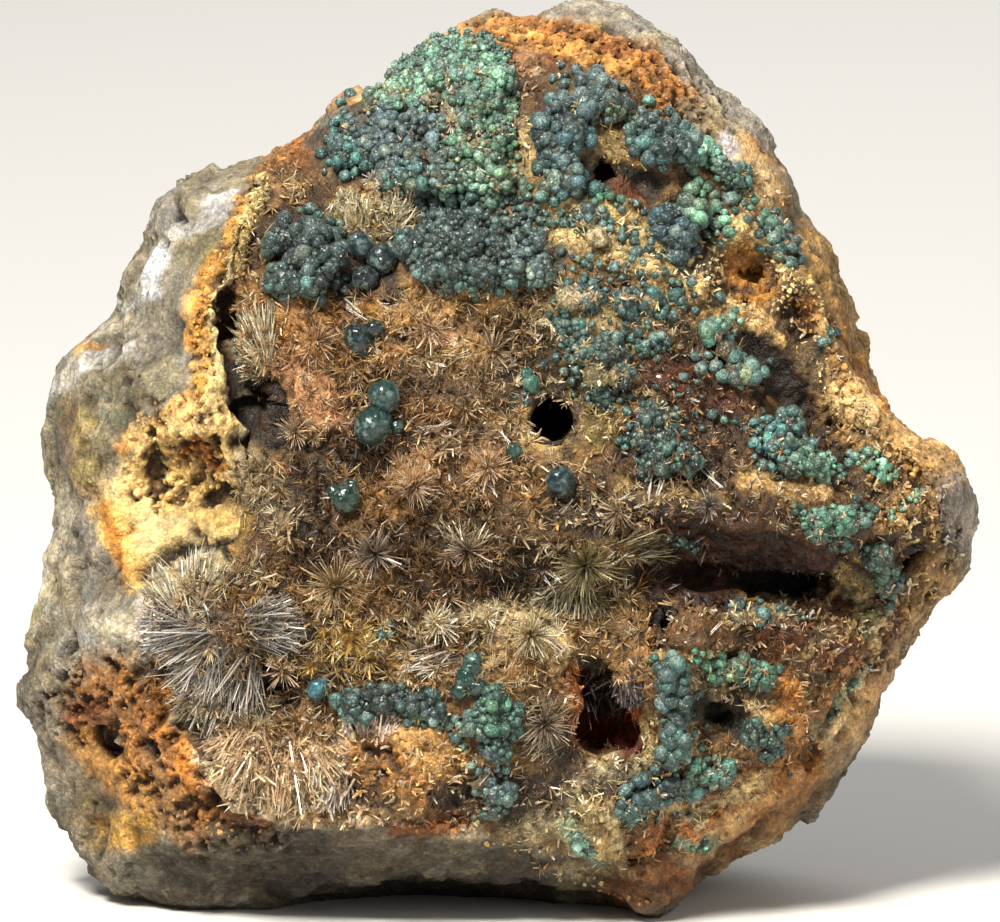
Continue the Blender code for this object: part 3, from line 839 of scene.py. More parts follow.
class Ground:
    """The built surfaces that crystals and balls grow on."""

    ABOVE = 600.0
    FIRST_TURN = 0.6
    SAME_FACE = 3.5 * MM

    def __init__(self, surfaces: list[Thing]) -> None:
        """Keeps a search tree for each surface.

        Args:
            surfaces: the built objects.
        """
        reach = bpy.context.evaluated_depsgraph_get()
        self.trees = [BVHTree.FromObject(surface, reach) for surface in surfaces]
        self.down = Vector(-VIEWER)

    def hit(self, x: float, y: float) -> tuple[Vector, Vector] | None:
        """Point and normal under a place of the drawing.

        Args:
            x: place on the drawing.
            y: place on the drawing.

        Returns:
            The point and its normal, or None beside the specimen.
        """
        start = Vector(DRAWING.to_world((x, y, self.ABOVE))[0])
        best = None
        for tree in self.trees:
            point, normal, _, away = tree.ray_cast(start, self.down)
            if point is not None and (best is None or away < best[2]):
                best = (point, normal, away)
        return None if best is None else best[:2]

    def covers(self, point: Points) -> bool:
        """Whether a point lies inside one of the surfaces.

        Args:
            point: world coordinates.

        Returns:
            True where it lies inside.
        """
        for tree in self.trees:
            at, normal, _, _ = tree.find_nearest(Vector(point))
            if (Vector(point) - at).dot(normal) < 0:
                return True
        return False

    def seats(self, places: Points, round_about: float = 12.0) -> tuple[Points, Points, Points]:
        """Points under places of the drawing, with normals averaged round them.

        Args:
            places: rows of x and y.
            round_about: how far round a place its normal is averaged.

        Returns:
            Which places have ground, its points and its normals.
        """
        kept, points, normals = [], [], []
        for index, (x, y) in enumerate(places):
            found = self.hit(x, y)
            if found is None:
                continue
            total = Vector(found[1])
            for turn in range(4):
                angle = turn * math.pi / 2 + self.FIRST_TURN
                near = self.hit(x + round_about * math.cos(angle), y + round_about * math.sin(angle))
                if near is not None and (near[0] - found[0]).length < self.SAME_FACE:
                    total += near[1]
            kept.append(index)
            points.append(found[0])
            normals.append(total.normalized())
        return np.array(kept, int), np.array(points).reshape(-1, 3), np.array(normals).reshape(-1, 3)


@dataclass
class Pattern:
    """A small shape that is modelled once and copied many times."""

    points: Points
    corners: Points
    starts: Points

    @classmethod
    def of(cls, thing: Thing) -> "Pattern":
        """Takes over a modelled shape and removes its object.

        Args:
            thing: the modelled shape.

        Returns:
            Its points and faces.
        """
        mesh = thing.data
        corners, starts = np.zeros(len(mesh.loops), np.int32), np.zeros(len(mesh.polygons), np.int32)
        mesh.loops.foreach_get("vertex_index", corners)
        mesh.polygons.foreach_get("loop_start", starts)
        made = cls(rows_of(mesh.vertices, "co"), corners, starts)
        bpy.data.objects.remove(thing)
        return made

    def copies(self, name: str, turns: Points, places: Points, smooth: bool) -> Thing:
        """One object that holds a copy of the shape at each place.

        Args:
            name: the new object's name.
            turns: a 3 by 3 matrix for each copy, whose columns are the shape's axes.
            places: a world point for each copy.
            smooth: whether the faces are shaded smooth.

        Returns:
            The new object.
        """
        count, size = len(places), len(self.points)
        points = np.einsum("nij,vj->nvi", turns, self.points) + places[:, None, :]
        mesh = bpy.data.meshes.new(name)
        mesh.vertices.add(count * size)
        mesh.vertices.foreach_set("co", points.astype(np.float32).ravel())
        mesh.loops.add(count * len(self.corners))
        corners = self.corners[None, :] + np.arange(count)[:, None] * size
        mesh.loops.foreach_set("vertex_index", corners.astype(np.int32).ravel())
        mesh.polygons.add(count * len(self.starts))
        starts = self.starts[None, :] + np.arange(count)[:, None] * len(self.corners)
        mesh.polygons.foreach_set("loop_start", starts.astype(np.int32).ravel())
        mesh.polygons.foreach_set("use_smooth", np.full(count * len(self.starts), smooth))
        mesh.update(calc_edges=True)
        mesh.validate()
        made = bpy.data.objects.new(name, mesh)
        bpy.context.scene.collection.objects.link(made)
        return made


def fresh(kind: str, **settings: object) -> Thing:
    """Adds a primitive with nothing else selected.

    Args:
        kind: the primitive, as Blender names its operator.
        settings: its sizes.

    Returns:
        The new object.
    """
    bpy.ops.object.select_all(action="DESELECT")
    getattr(bpy.ops.mesh, f"primitive_{kind}_add")(**settings)
    return bpy.context.object


def spike_pattern() -> Pattern:
    """A thin three-sided spike, one long along Z.

    Returns:
        The spike.
    """
    spike = fresh("cone", vertices=3, radius1=0.58, radius2=0, depth=1, location=(0, 0, 0.5))
    bpy.ops.object.transform_apply(location=True, rotation=True, scale=True)
    return Pattern.of(spike)


def blade_pattern() -> Pattern:
    """A flat blade with a chisel tip, one long along Z.

    Returns:
        The blade.
    """
    blade = fresh("cube", size=1, location=(0, 0, 0.5))
    bpy.ops.object.transform_apply(location=True, rotation=True, scale=True)
    points = rows_of(blade.data.vertices, "co")
    top = points[:, 2] > 0.5
    points[top, 0] *= 0.6
    points[top, 1] = 0
    points[top & (points[:, 0] > 0), 2] = 0.93
    set_vertices(blade, points)
    in_edit(blade, ("remove_doubles", {"threshold": 0.001}))
    return Pattern.of(blade)


def ball_pattern(cuts: int) -> Pattern:
    """A round ball of radius 1 made from a divided cube.

    Args:
        cuts: divisions of each of the cube's edges.

    Returns:
        The ball.
    """
    ball = fresh("cube", size=2)
    in_edit(ball, ("subdivide", {"number_cuts": cuts}), ("transform.tosphere", {"value": 1.0}))
    set_vertices(ball, unit(rows_of(ball.data.vertices, "co")))
    return Pattern.of(ball)


def crumb_pattern(draw: np.random.Generator) -> Pattern:
    """An angular grain of radius 1.

    Args:
        draw: source of random numbers.

    Returns:
        The grain.
    """
    crumb = fresh("ico_sphere", subdivisions=1, radius=1)
    points = rows_of(crumb.data.vertices, "co")
    set_vertices(crumb, points * draw.uniform(0.65, 1.25, (len(points), 1)))
    return Pattern.of(crumb)


def random_turns(draw: np.random.Generator, sizes: Points) -> Points:
    """Turns every way, with the given sizes along the three axes.

    Args:
        draw: source of random numbers.
        sizes: rows of sizes along the three axes.

    Returns:
        One matrix for each row.
    """
    first = unit(draw.normal(size=(len(sizes), 3)))
    second = unit(np.cross(first, draw.normal(size=(len(sizes), 3))))
    return np.stack([first, second, np.cross(first, second)], axis=2) * sizes[:, None, :]


ROCK_BASE = (hue("857d69"), hue("aea691"), hue("564e40"), hue("80643f"))
ROCK_FILMS = (hue("8c8250"), hue("7f8184"), hue("4a4034"))
# The third bed colour is painted shade for the low places of the bed.
BED_BASE = (hue("7a5c38"), hue("ab875a"), hue("36261a"))
# Near-black browns painted into holes, pits and cracks as shade.
HOLE_SHADE, DENT_SHADE = hue("3a200e"), hue("2e2418")
BALL_BASE = hue("3a5c5c")
BALL_TONE = np.array((0.81, 0.83, 0.7))
WARM = np.array((1.0, 0.95, 0.75))
# Direction towards the key light: painted glints and highlights on the balls are set on this side.
TOWARDS_LIGHT = DRAWING.direction(-0.3, -0.6, 0.75)
OPEN_BELOW = 0.85
GLINT_SHARE = 0.28
BALL_SEED, NEEDLE_SEED, GRAIN_SEED = 9, 5, 21

# Near-black stains that sink the front mark holes and gaps; their near-black is painted shade inside them.
# Half width, colour, strength, depth, softness, places
# Crevice, nook, dome and cavity; the near-black of the crevice and the nook is painted shade over their dark
# red-brown rock
# Dark holes beside the vein, painted near-black as shade inside them
# Grey side on the left, the white along its facets, painted highlight where its crest catches the light, and ochre
# films
# The dark band below the right ridge is painted shadow under it.
# The round hole is painted near-black as shade inside it.
# Underside, painted darker as shade towards its lower edge
FRONT_STAINS = read(Stain, """
# Grey side on the left, its white facets and ochre films
24 a49e90 .6 128,345 175,300 190,250 232,200
22 8c8258 .6 190,245 235,245
22 7d776b .7 165,300 180,335
34 837c66 .6 125,375 175,400
8 c2c0c0 .85 128,306 146,280 158,250 178,236 204,220 232,196
11 e4e4ea .75 150,285 158,252
8 c4c2c0 .7 62,388 90,362 128,346
5 b98a4c .8 82,352 100,345
5 6a6057 .9 5 166,246
14 8f8a84 .8 167,200 168,222
3 2b251f 1 6 180,198 181,222
5 4f4030 .8 6 120,369 124,378
5 4f4030 .8 6 122,405 130,412
8 5a6a52 .5 108,414 122,418
9 a08a4c .5 86,420 84,440
26 9a9488 .5 75,520 85,560
22 6f695f .6 100,530 120,590
18 a8a398 .6 60,620 70,660
24 aaa698 .4 90,640 130,620
8 2c241c 1 10 70,645
26 9c9486 .5 50,700 60,780
30 8f8677 .5 90,870 160,880
# Ochre vein and its pocket
9 a5743c .95 292,140 275,162 262,180 250,200 243,225
13 dda14a .95 243,215 228,250 212,275 200,300 197,340
9 ecd294 .95 262,186 250,215 238,248 226,280 222,310 220,345 218,385
9 cf9f50 .9 205,350 205,400
13 dcc588 .85 226,385 232,430 240,475
9 b9803c .9 130,448 165,420 200,402
22 dcb878 .9 150,440 190,425 220,420
34 e0bc74 .95 5 165,480 205,470 215,515
26 e8ca8c .9 130,500 150,540 200,550
14 e6b968 .9 115,515 130,560 140,580
11 9a5c14 .9 4 195,445 215,462
6 6b3a0c 1 8 182,452 186,462
8 3a2208 1 13 155,465 160,490
7 3a2208 1 13 205,500 226,492
6 3a2208 1 9 193,525 200,530
5 241a10 1 11 140,572 160,556 182,545 205,545 232,549
6 b9772c .8 112,500 118,540 124,570
# Dark holes beside the vein
7 1c120b 1 12 222,270 219,280
9 1c120b 1 20 232,300 236,320 232,342
8 1c120b 1 14 238,355 242,378
23 2a1b10 1 14 255,398 275,415
9 120b07 1 22 250,405
8 120b07 1 20 272,396 282,412
10 2a1d13 1 10 242,441 292,443
7 21160f 1 10 305,440 310,448
# Rusty sponge at the lower left
44 a87238 .92 112,700 150,745 190,790
20 cc9448 .75 85,745 120,775 150,800
18 b9782c .8 165,695 185,735 205,770 225,800
16 8a6c44 .7 165,790 180,815
14 7f4a24 .85 78,712 98,706
9 24130a 1 12 106,736 114,746
8 24130a 1 12 148,742 154,750
9 24130a 1 14 210,798 222,806
6 2e1a0c 1 8 135,790
13 8b5426 .8 235,815 265,832
17 c0923e .75 105,832 145,828
4 7fa090 .7 262,866 258,858
4 7fa090 .6 254,842
# Underside
30 574c3c .9 190,875 300,858 420,864 520,884
16 3a3228 .8 280,884 420,886 540,896
9 75695a .7 255,838 330,832 400,842
# Top rim
20 ab7338 .95 470,44 520,34 580,42 640,66 680,98
10 cf9850 .8 500,28 560,52 620,66
8 7d4214 .8 545,62 575,72
7 7d4214 .7 600,48 630,52
9 8f887c .9 556,14 640,18
14 948d82 .9 675,58 730,105 768,142
14 8a7858 .8 690,110 725,138
10 b0803c .7 745,150 775,175 782,200
9 a39a8a .6 762,175 785,190
20 b59465 .8 735,180 765,205
14 a66a34 .9 300,160 316,138
8 a8743c .8 335,112 362,98
8 9c5f2a .9 386,86 410,70
8 c99150 .8 440,48 462,36
# Right rim, its ridge and pockets
30 b28c54 .85 815,250 845,320 862,385 890,420
30 c69c62 .9 830,400 880,440 930,470
8 b8803f .8 842,330 856,372 884,410
5 7a5228 .8 3 824,300 846,345 868,395
26 c69e66 .9 880,500 920,520 935,600 880,660
17 968c84 .9 948,492 956,535
6 2a1c12 1 8 940,508
10 140d08 1 16 905,575 915,556
20 a58a6c .7 900,640 860,700
30 a8814f .85 850,690 800,770 730,850
12 cda670 .8 835,660 800,720 770,790 740,830
10 8f6236 .7 850,640 820,700 790,760
5 76a088 .85 868,664 840,700 812,728 790,770
6 dcc090 .85 -3 884,640 852,700 812,750 772,800
5 6e4824 .85 4 866,650 832,700 802,745 772,780
5 7a5228 .8 4 905,600 884,650 852,700
5 5a3c20 .8 4 762,826 722,848 692,878
5 d8bc8c .8 -3 770,838 730,860 700,884
7 120c08 1 12 805,765 814,752
5 1f140c .8 8 828,665 868,632
# Ground of the crystals: browns, tans and greys from the upper left down
40 b08048 .8 280,320 350,330 400,310
26 c49272 .8 295,370 330,420
40 b59060 .7 420,300 500,295 520,330
30 b8925f .7 430,350 500,380 510,420
12 b8864e .8 392,362 376,318
6 b0881f .9 374,316
6 170e08 1 10 398,338 408,334
14 d8a884 .8 428,335 450,345
4 e0c4a4 .9 415,361 447,365
15 4a3526 .8 4 470,316 505,340
26 6f5a44 .85 420,388 500,388
8 3f2c20 .8 5 415,388 446,392
12 b47c40 .8 416,410 446,424
18 665646 .85 455,440 505,446
26 ba8c62 .75 385,470 485,470
20 241811 .9 5 338,448 374,466
28 453a32 .9 310,470 322,545
20 9a8c74 .85 250,465 275,510
36 5c4424 .85 375,530 500,530
16 33241a .85 4 295,560 350,558
11 9a6c30 .7 376,505 394,516
36 46301a .9 400,556 450,585 520,590
34 54492a .9 3 535,575 610,580 650,560
26 8f6c3c .8 335,590 375,590
28 c09c48 .9 318,640 375,655
13 b98f58 .6 345,700 410,640
8 6a5030 .8 5 312,706 335,716
12 9c7a58 .8 300,690 345,684
26 cfb180 .8 500,640 545,650
18 8a6434 .8 515,660 545,680
26 5c4a32 .9 525,715 560,745
11 d6cfc8 .85 146,640 148,612 160,590
6 d0c4a8 .9 146,590 165,566 198,553 232,562
18 b5a78c .8 165,585 210,578
26 6a6462 .85 170,635 220,628
9 8a6a4c .7 212,628 244,636
20 57504e .85 268,622 305,632
24 8f887c .8 200,675 262,700
9 33291f .9 7 145,668 188,672
11 1f120a 1 16 268,676 284,684
14 8f8a70 .7 185,710 205,730
30 d2ae88 .9 235,770 300,770
8 ecd4b4 .9 205,748 222,780 245,802 292,814 330,796
6 6b4a2c .7 5 276,742 300,756 312,770
16 e6c8b0 .9 355,722 400,712
11 ecd4bc .9 318,800 332,770 350,735
26 c08a4c .9 365,760 420,775
20 d2a468 .85 420,740 460,770
7 3a1c10 1 11 372,746 380,748
6 3a1c10 1 9 392,752
13 3a2a26 .85 5 440,790 460,792
9 8b5426 .85 395,824 460,820
10 b89a78 .7 300,815 350,802 400,808
26 6b5a42 .85 500,800 580,790
# Ground under the upper balls, and the strip and wedges between them
15 0c0a09 .9 2 342,288 372,276 392,288
40 9c9068 .8 400,90 450,75 490,95 500,160
34 4f5450 .8 345,145 400,150 440,180
34 28343a .8 430,240 530,250
26 6e6a54 .8 560,100 570,170 590,200
22 a07652 .9 520,68 530,100
12 dcc090 .9 525,120 532,152
11 cdb890 .9 442,98 452,124
20 b0a884 .85 345,215 400,222
14 a98a62 .7 350,235 390,248
10 c9beb0 .8 372,180
12 a89468 .9 608,135 618,165
14 0d0b0a 1 8 590,168 620,180 650,184
9 7a4420 .9 616,186 638,194
8 cfc6cc .9 724,142 728,156
18 b89a6c .7 740,165 770,215
# Middle right: cream sprays, olive, brown and red-brown
60 5f5434 .75 560,330 640,340 690,330
24 dcc898 .9 556,222 600,226 630,240 650,262
24 c8b288 .75 560,310 620,330 680,270
8 ddd79a .85 680,278 700,276
18 e2bc88 .85 690,290 715,318
20 8d7c3a .8 560,388 605,400 600,430
9 c8ac7c .8 525,440 555,448 585,436
30 54290f .9 662,380 720,402
36 3c2814 .9 640,470 720,450 745,490
14 c0a070 .85 625,490 665,495 712,505
15 5a4a46 .85 745,330 768,362
16 150e0a 1 8 775,378 788,402
17 221610 .95 5 748,335 775,378 800,420 838,464
26 6b5630 .85 570,510 620,540
26 5a3617 .9 650,528 700,540
9 d8bf92 .8 640,262 668,268 700,262 716,240
8 d4b98c .75 620,375 640,392 656,400
10 caa87c .8 742,478 790,492 830,486 868,500
8 2a190e .8 4 700,500 722,512
7 d8bc90 .7 655,655 700,640 745,645
8 d9c094 .75 560,790 600,800 640,806
9 3a2818 .7 4 600,772 650,762
10 ecd6b0 .9 -2 418,640 440,620 500,612 545,624 560,648
9 dcc49a .7 535,610 560,640
12 3d2a1a .75 4 645,570 680,580
7 b59c74 .7 528,420 536,436 552,446 568,438 578,420 570,402
20 0b0705 1 12 .12 552,420
# Spongy pockets
7 e6cc9c .95 735,222 722,258 704,292 728,306 757,318 782,306 802,292 775,256 738,226
19 c98f44 .95 2 742,264 755,290
4 7a4214 .9 6 736,268
4 7a4214 .9 6 762,290
8 e2c28c .95 785,288 800,282 822,300 820,330 800,342 784,325 784,300
13 b57a34 .95 2 801,304 803,320
13 e6c492 .9 -3 700,296 735,318 765,322 800,350 832,392 868,430
# Crevice, nook, dome and cavity
44 4a250e .9 680,560 740,560 800,568
28 341608 .95 3 690,556 740,560 790,566 836,588
15 1a0b05 1 6 740,576 790,580 838,588
10 0e0704 1 6 775,582 830,584
15 33190b .9 2 650,585 690,592 720,602
9 120a06 1 10 662,608 660,640
22 7a5636 .8 -3 690,636 716,640
13 a0906c .8 735,612 775,606
14 b0ae88 .85 858,590 865,615
18 8a5428 .85 760,640 845,650
11 b5621c .95 3 578,676 588,698
19 1c0f0c .95 3 600,690 628,702
12 2a1008 .95 9 .2 590,722 632,735
17 8a3410 1 8 585,722 610,730 630,728
6 a84a18 .9 588,716 630,716
6 d6bd92 .9 600,757 642,756
9 c9b788 .85 646,725 648,748
8 cdb88e .9 688,700 690,758
14 e2cca4 .9 688,684 712,680
16 d6b888 .9 752,702 768,715
12 c9853a .9 782,680 792,698
18 14160f .95 8 705,705 735,722
34 a9743c .85 720,800 790,770
10 cda878 .7 720,830 760,790
24 c2ad80 .8 575,810 605,850
22 8a5f36 .75 640,850 680,850
12 5f4326 .8 4 640,828 662,836
7 cdbd98 .8 560,868 600,880
18 a06a3c .8 620,890 680,880
20 8f8468 .75 505,790 530,830 570,800
7 d8ccae .85 -2 560,792 580,776 612,770 640,764
9 b4c8b4 .8 -1 566,822 582,842 596,858
9 b8763c .85 640,842 665,822 690,832
7 dcc6a0 .85 -2 700,802 735,790 762,770
6 d9c49c .8 -2 640,802 676,808 700,818
6 8a5026 .8 1 658,852 680,872 664,888
5 7fa48c .8 674,842 712,838
5 a0622f .8 742,846 728,854
6 d9bd8a .8 -2 800,652 822,632 852,626
9 4e2812 .85 2 818,592 846,602 838,622
8 c08848 .8 -1 770,704 792,716 784,742
6 5a3a1c .8 3 740,760 764,752 790,738
6 6a4424 .7 2 690,790 712,782 740,770
6 d4b484 .7 -1 820,600 842,572 870,600
7 6e4a26 .8 3 600,820 626,846 640,868
6 e2d4b0 .8 -2 586,800 612,816 618,846
""")

BALL_STAINS = read(Stain, """
40 6f8f70 .6 440,70 490,90 500,160
40 56847a .85 425,60 480,80
14 86b8a0 .8 385,92 425,84
12 8cbca4 .8 480,58 492,75
30 475a6c .85 355,145 415,140
22 3f6f74 .8 330,140 350,165
30 507c66 .85 470,130 505,130
8 86b394 .8 512,95 520,170
12 7fb0a2 .85 450,188 482,184
34 2c3d44 .9 430,240 520,250
16 5a6c74 .7 505,262 545,270
28 213038 .95 295,240 340,270
34 2f4d5c .8 560,110 575,180
18 44575f .8 560,80 620,92
8 5f7c5c .9 614,114 630,122
26 2f4a50 .8 650,140 685,160
11 8fd0c0 702,148 712,162
9 5aa078 .9 604,198 628,206
18 66706f .9 640,210 670,195
22 2f4c60 .9 660,225 690,245
18 6f9f86 .85 700,190 715,225
12 35664f .85 732,190 750,210
16 4a6c64 .8 760,230 785,255
18 3f636c .7 590,300 650,300
40 2f4f4c .7 600,350 640,380
12 5fa090 .85 705,335 730,320
14 5a7a80 .7 705,360 745,372
28 23403f .9 645,440 670,450
10 4f9080 .8 528,380
16 35707c .8 760,430 775,460
14 76a892 .8 800,452 835,470
16 6fa08c .8 858,458 880,470
20 4a8a70 .8 800,515 850,515
8 86b79c .9 890,512 918,492
16 284a3c .9 870,556 890,590
22 16282c .9 370,692 440,698
8 7ea0a6 .85 412,716 462,722
16 2a5c54 .9 470,660 480,690
20 2e5f50 .85 500,705 508,735
14 7a93a4 .8 478,765 505,780
10 46584f .6 480,820
18 37595a .8 668,680 668,740
18 4f9078 .85 705,660 760,665
16 27473c .9 755,735 775,730
16 2c5058 .85 620,790 665,778
16 58a094 .85 690,770 725,760
12 7aa898 .85 572,835 588,850
9 7ab098 .85 690,842 708,846
""")

# Half width, places
BARE = read(Strip, """
15 590,166 615,178 640,182
9 438,98 455,124
9 368,184 378,178
9 360,100 362,124
10 525,60 528,160
16 708,706 738,720
12 350,210 410,215
""")
SPONGE = read(Strip, """
13 292,140 262,180 240,225 212,275 205,340 205,400
32 160,425 205,430 200,470 158,478
44 85,700 110,690 150,740 190,790 250,825
26 470,40 530,34 600,52 650,80 700,112
20 742,262 755,290
18 800,300 802,325
30 820,420 880,470 930,540 880,640
16 370,748 395,760
""")
MOUTHS = read(Mouth, """
21 3 552,420
22 2 605,728 612,732
9 2 911,565
""")
LINING = Chain(
    "260,290 270,230 300,180 340,150 380,120 430,90 480,75 530,80 600,85 660,110 700,150 735,200 770,240 "
    "800,300 820,380 850,430 900,480 910,540 870,590 830,640 800,710 750,770 690,815 600,830 500,815 400,795 "
    "300,800 240,790 210,750 190,700 170,640 165,600 220,570 270,540 275,460 275,400"
)


@dataclass(frozen=True)
class Mound(Strip):
    """Balls crowded over a strip: their radius, how high its middle stands, and how close they are."""

    size: float
    rise: float = 5.0
    tight: float = 0.78


@dataclass(frozen=True)
class BallGroup:
    """The balls of one cluster: the share of its core that they cover, and the node they stand for, if any."""

    name: str
    slot: Slot
    cover: float
    nodes: tuple[str, ...]
    mounds: tuple[Mound, ...]


def read_groups(text: str) -> tuple[BallGroup, ...]:
    """Groups of balls from a table, set apart by empty lines, each with its own line before its mounds.

    Args:
        text: the table.

    Returns:
        The groups in the order of the table.
    """
    groups = []
    for block in text.split("\n\n"):
        head, _, mounds = block.strip().partition("\n")
        name, slot, cover, *nodes = head.split()
        groups.append(BallGroup(name, Slot[slot], float(cover), tuple(nodes), read(Mound, mounds)))
    return tuple(groups)


# Name, slot, cover and node; then for each mound its half width, radius, rise, tightness and places
BALL_GROUPS = read_groups("""
upper_left_balls TEAL .66 upper_left_ball_field
30 6 8 352,128 385,105
30 4 8 0.5 415,78 445,58 482,60
34 4 5 0.5 410,110 460,90 500,95
26 6 6 342,160 372,160
34 5.6 8 385,140 430,150
34 4.8 6 455,140 500,130 500,170
22 6.5 432,185 482,188 520,196
12 6 3 395,186 415,196

dark_bank_balls DARK 1 dark_lower_bank
32 5.5 10 425,245 470,240 515,250
20 5 6 450,282 500,282 530,270
14 6 3 400,255 410,248
16 4.6 4 430,214 480,212 540,222

upper_right_balls TEAL .7 upper_right_ball_bank
16 7.5 560,80 600,86 620,98
22 7 6 556,115 590,110
24 7.5 9 552,150 560,185
12 7.5 3 585,135 588,155
14 7 4 580,190 592,200

right_clump_balls TEAL 1 right_ball_clump
20 8 10 642,142 662,150
18 7 8 650,120 680,138 695,158
8 5 3 615,116 634,120

blue_grey_balls BLUE_GREY .9 blue_grey_ball_group
22 10 8 0.85 662,228 688,246
20 7 4 698,190 722,205
18 6 4 700,222 716,236
13 5.5 4 735,178 750,205

right_edge_balls TEAL .6 right_edge_ball_group
15 7.5 758,222 766,250
10 6.5 4 776,250 788,262

left_cluster_balls TEAL .85 left_ball_cluster
22 8.5 9 0.85 300,258 305,285
13 7 6 312,215 318,235
12 6.5 7 338,230 342,258 340,282
8 8 3 300,218

middle_balls TEAL .5 middle_ball_group
16 7.5 5 0.85 575,290 592,300
15 5 3 560,325 580,340
8 8 3 0.9 556,272

middle_right_balls TEAL .6 middle_right_ball_group
16 6.5 5 0.85 640,292 655,312
10 6 4 0.9 672,285 678,302

scattered_balls TEAL .45 scattered_ball_band
20 5.2 4 590,345 615,350
20 5 3 612,375 600,400
16 5 3 640,340 660,350
12 4.6 3 572,350 580,372

groove_balls TEAL .55 groove_ball_group
14 7.5 5 0.9 705,362 722,380
14 6 4 712,338 732,322
12 8 4 0.95 740,372 760,366

hole_side_balls TEAL .7 hole_side_ball_group
26 5.2 8 640,430 665,440
18 5 4 668,460 650,466

ridge_foot_balls TEAL .6 ridge_foot_ball_group
20 5.2 6 762,432 775,462
16 5 4 800,452 832,472
14 5 4 855,458 882,470

ledge_balls TEAL .5 ledge_ball_group
11 5.2 3 792,508 808,520
15 5.2 4 830,512 858,512
10 4.8 3 815,532 838,545
6 4 2 888,514 918,492

left_middle_balls TEAL .35 left_middle_ball_field
10 7.5 4 0.9 628,242 636,250
14 4.5 3 0.95 565,225 600,222
9 5 4 604,200 628,206
9 6 3 0.9 575,262 602,268

green_mass_balls GREEN .9 lower_green_mass
17 6 9 495,695 506,725
12 5.5 4 480,720 484,742
8 5 3 450,735 458,745

lower_row_balls TEAL 1 lower_ball_row
13 7.5 6 368,694 400,692 435,696
8 5.5 3 410,716 462,722

lower_blue_balls BLUE_GREY .6 lower_blue_group
11 5.5 4 482,762 486,785
9 5 3 502,758 504,775

cavity_side_balls TEAL 1 cavity_side_column
11 7 6 666,668 669,700 667,745

lower_band_balls TEAL .8 lower_right_band
12 5.5 4 695,655 725,664 765,670
10 5 3 740,675 765,682

green_lump_balls DARK 1 dark_green_lump
15 5.5 6 756,732 774,730

descending_balls TEAL .75 descending_ball_row
13 6 622,795 652,780 672,776
13 5.5 4 690,768 722,760
9 7 3 632,822

tip_balls TEAL .6 tip_ball_group
13 5.5 868,552 880,575 890,592

valley_balls GREEN .4 valley_green_group
9 5 3 735,612 752,606
8 4.6 2 775,612 800,615

turquoise_balls TURQUOISE .7 top_right_turquoise_group
11 3.6 3 702,146 712,164

stray_small_balls TEAL 1
7 5 2 575,838 588,848
7 4.5 2 690,842 706,846
9 5 3 386,632 404,626
7 4.5 2 478,818
8 4.5 2 825,338 832,330
5 4.5 2 520,398 528,402
6 4.5 2 660,665 650,655
6 6 3 790,232
6 6.5 3 798,258
6 4.2 2 683,440
8 4 2 672,538 690,545
20 4.6 2 1.45 548,262 600,286 640,270 680,262
22 4.8 2 1.45 560,316 620,322 680,316 700,300
22 4.4 2 1.5 560,360 590,392 640,404 690,392
24 3.8 2 1.6 440,68 480,80 500,140
12 3.6 2 1.6 566,812 584,846
5 3.4 1 1.8 866,664 838,702 812,730 790,770
12 4 2 1.9 640,810 680,806
14 4.2 2 1.6 575,232 640,226 690,262
16 4.4 2 1.6 700,420 760,420 800,440
14 4.2 2 1.5 690,700 700,730 690,745
""")


@dataclass(frozen=True)
class SingleBall:
    """One ball or a few grown together, which stand for a node: x, y and radius of each on the drawing."""

    name: str
    slot: Slot
    node: str
    colour: str
    balls: tuple[tuple[float, float, float], ...]


SINGLE_BALLS = (
    SingleBall("slate_pair", Slot.SLATE, "slate_ball_pair", "131f24", ((362, 343, 16), (377, 329, 10))),
    SingleBall(
        "centre_trio", Slot.TEAL, "centre_ball_trio", "1a3331",
        ((388, 395, 16), (375, 428, 19), (397, 426, 8)),
    ),
    SingleBall("green_single", Slot.GREEN, "green_ball", "122c22", ((345, 499, 13), (352, 488, 8), (336, 492, 7))),
    SingleBall("light_teal_single", Slot.LIGHT_TEAL, "light_teal_ball", "305c68", ((321, 688, 12),)),
    SingleBall("hole_foot_single", Slot.TEAL, "hole_foot_ball", "12282c", ((558, 482, 15),)),
    SingleBall("hole_top_single", Slot.TEAL, "hole_top_ball", "2b564a", ((531, 383, 10), (526, 374, 6))),
    SingleBall("small_flat_single", Slot.TEAL, "small_flat_ball", "234a40", ((515, 450, 9),)),
    SingleBall("dark_round_single", Slot.DARK, "dark_round_ball", "141d22", ((366, 284, 15), (346, 292, 7))),
    SingleBall("dark_upper_single", Slot.DARK, "dark_upper_ball", "1e2d34", ((360, 250, 13), (384, 262, 14))),
    SingleBall(
        "column_finger", Slot.TEAL, "tall_lower_column", "15362f",
        ((474, 660, 11), (470, 670, 11), (466, 680, 11), (462, 690, 10), (480, 688, 10)),
    ),
)


def sponge_share(points: Points, facing: Points) -> Points:
    """How spongy the front is at each point, from 0 to 1.

    Args:
        points: rows of world coordinates.
        facing: how much each point faces the viewer.

    Returns:
        One share for each point.
    """
    sheet = DRAWING.to_sheet(points)
    share = np.zeros(len(points))
    for strip in SPONGE:
        share = np.maximum(share, ramp(1.35, 0.8, strip.away(sheet, 1.5)) * ramp(-0.2, 0.1, facing))
    return share


def sponge_holes(points: Points, size: float) -> Points:
    """Torn round holes of about the given size, from 0 to about 1.

    Args:
        points: rows of world coordinates.
        size: distance between large holes in metres.

    Returns:
        One depth for each point.
    """
    torn = points + GRAIN.layered(points + 9 * MM, 1.6 * MM, 3)[:, None] * (0.7, -0.6, 0.5) * MM
    large, _, _ = GRAIN.cells(torn, size)
    small, _, _ = GRAIN.cells(torn + 5 * MM, size * 0.5)
    return ramp(0.48, 0.2, large) * 0.8 + ramp(0.45, 0.15, small) * 0.5


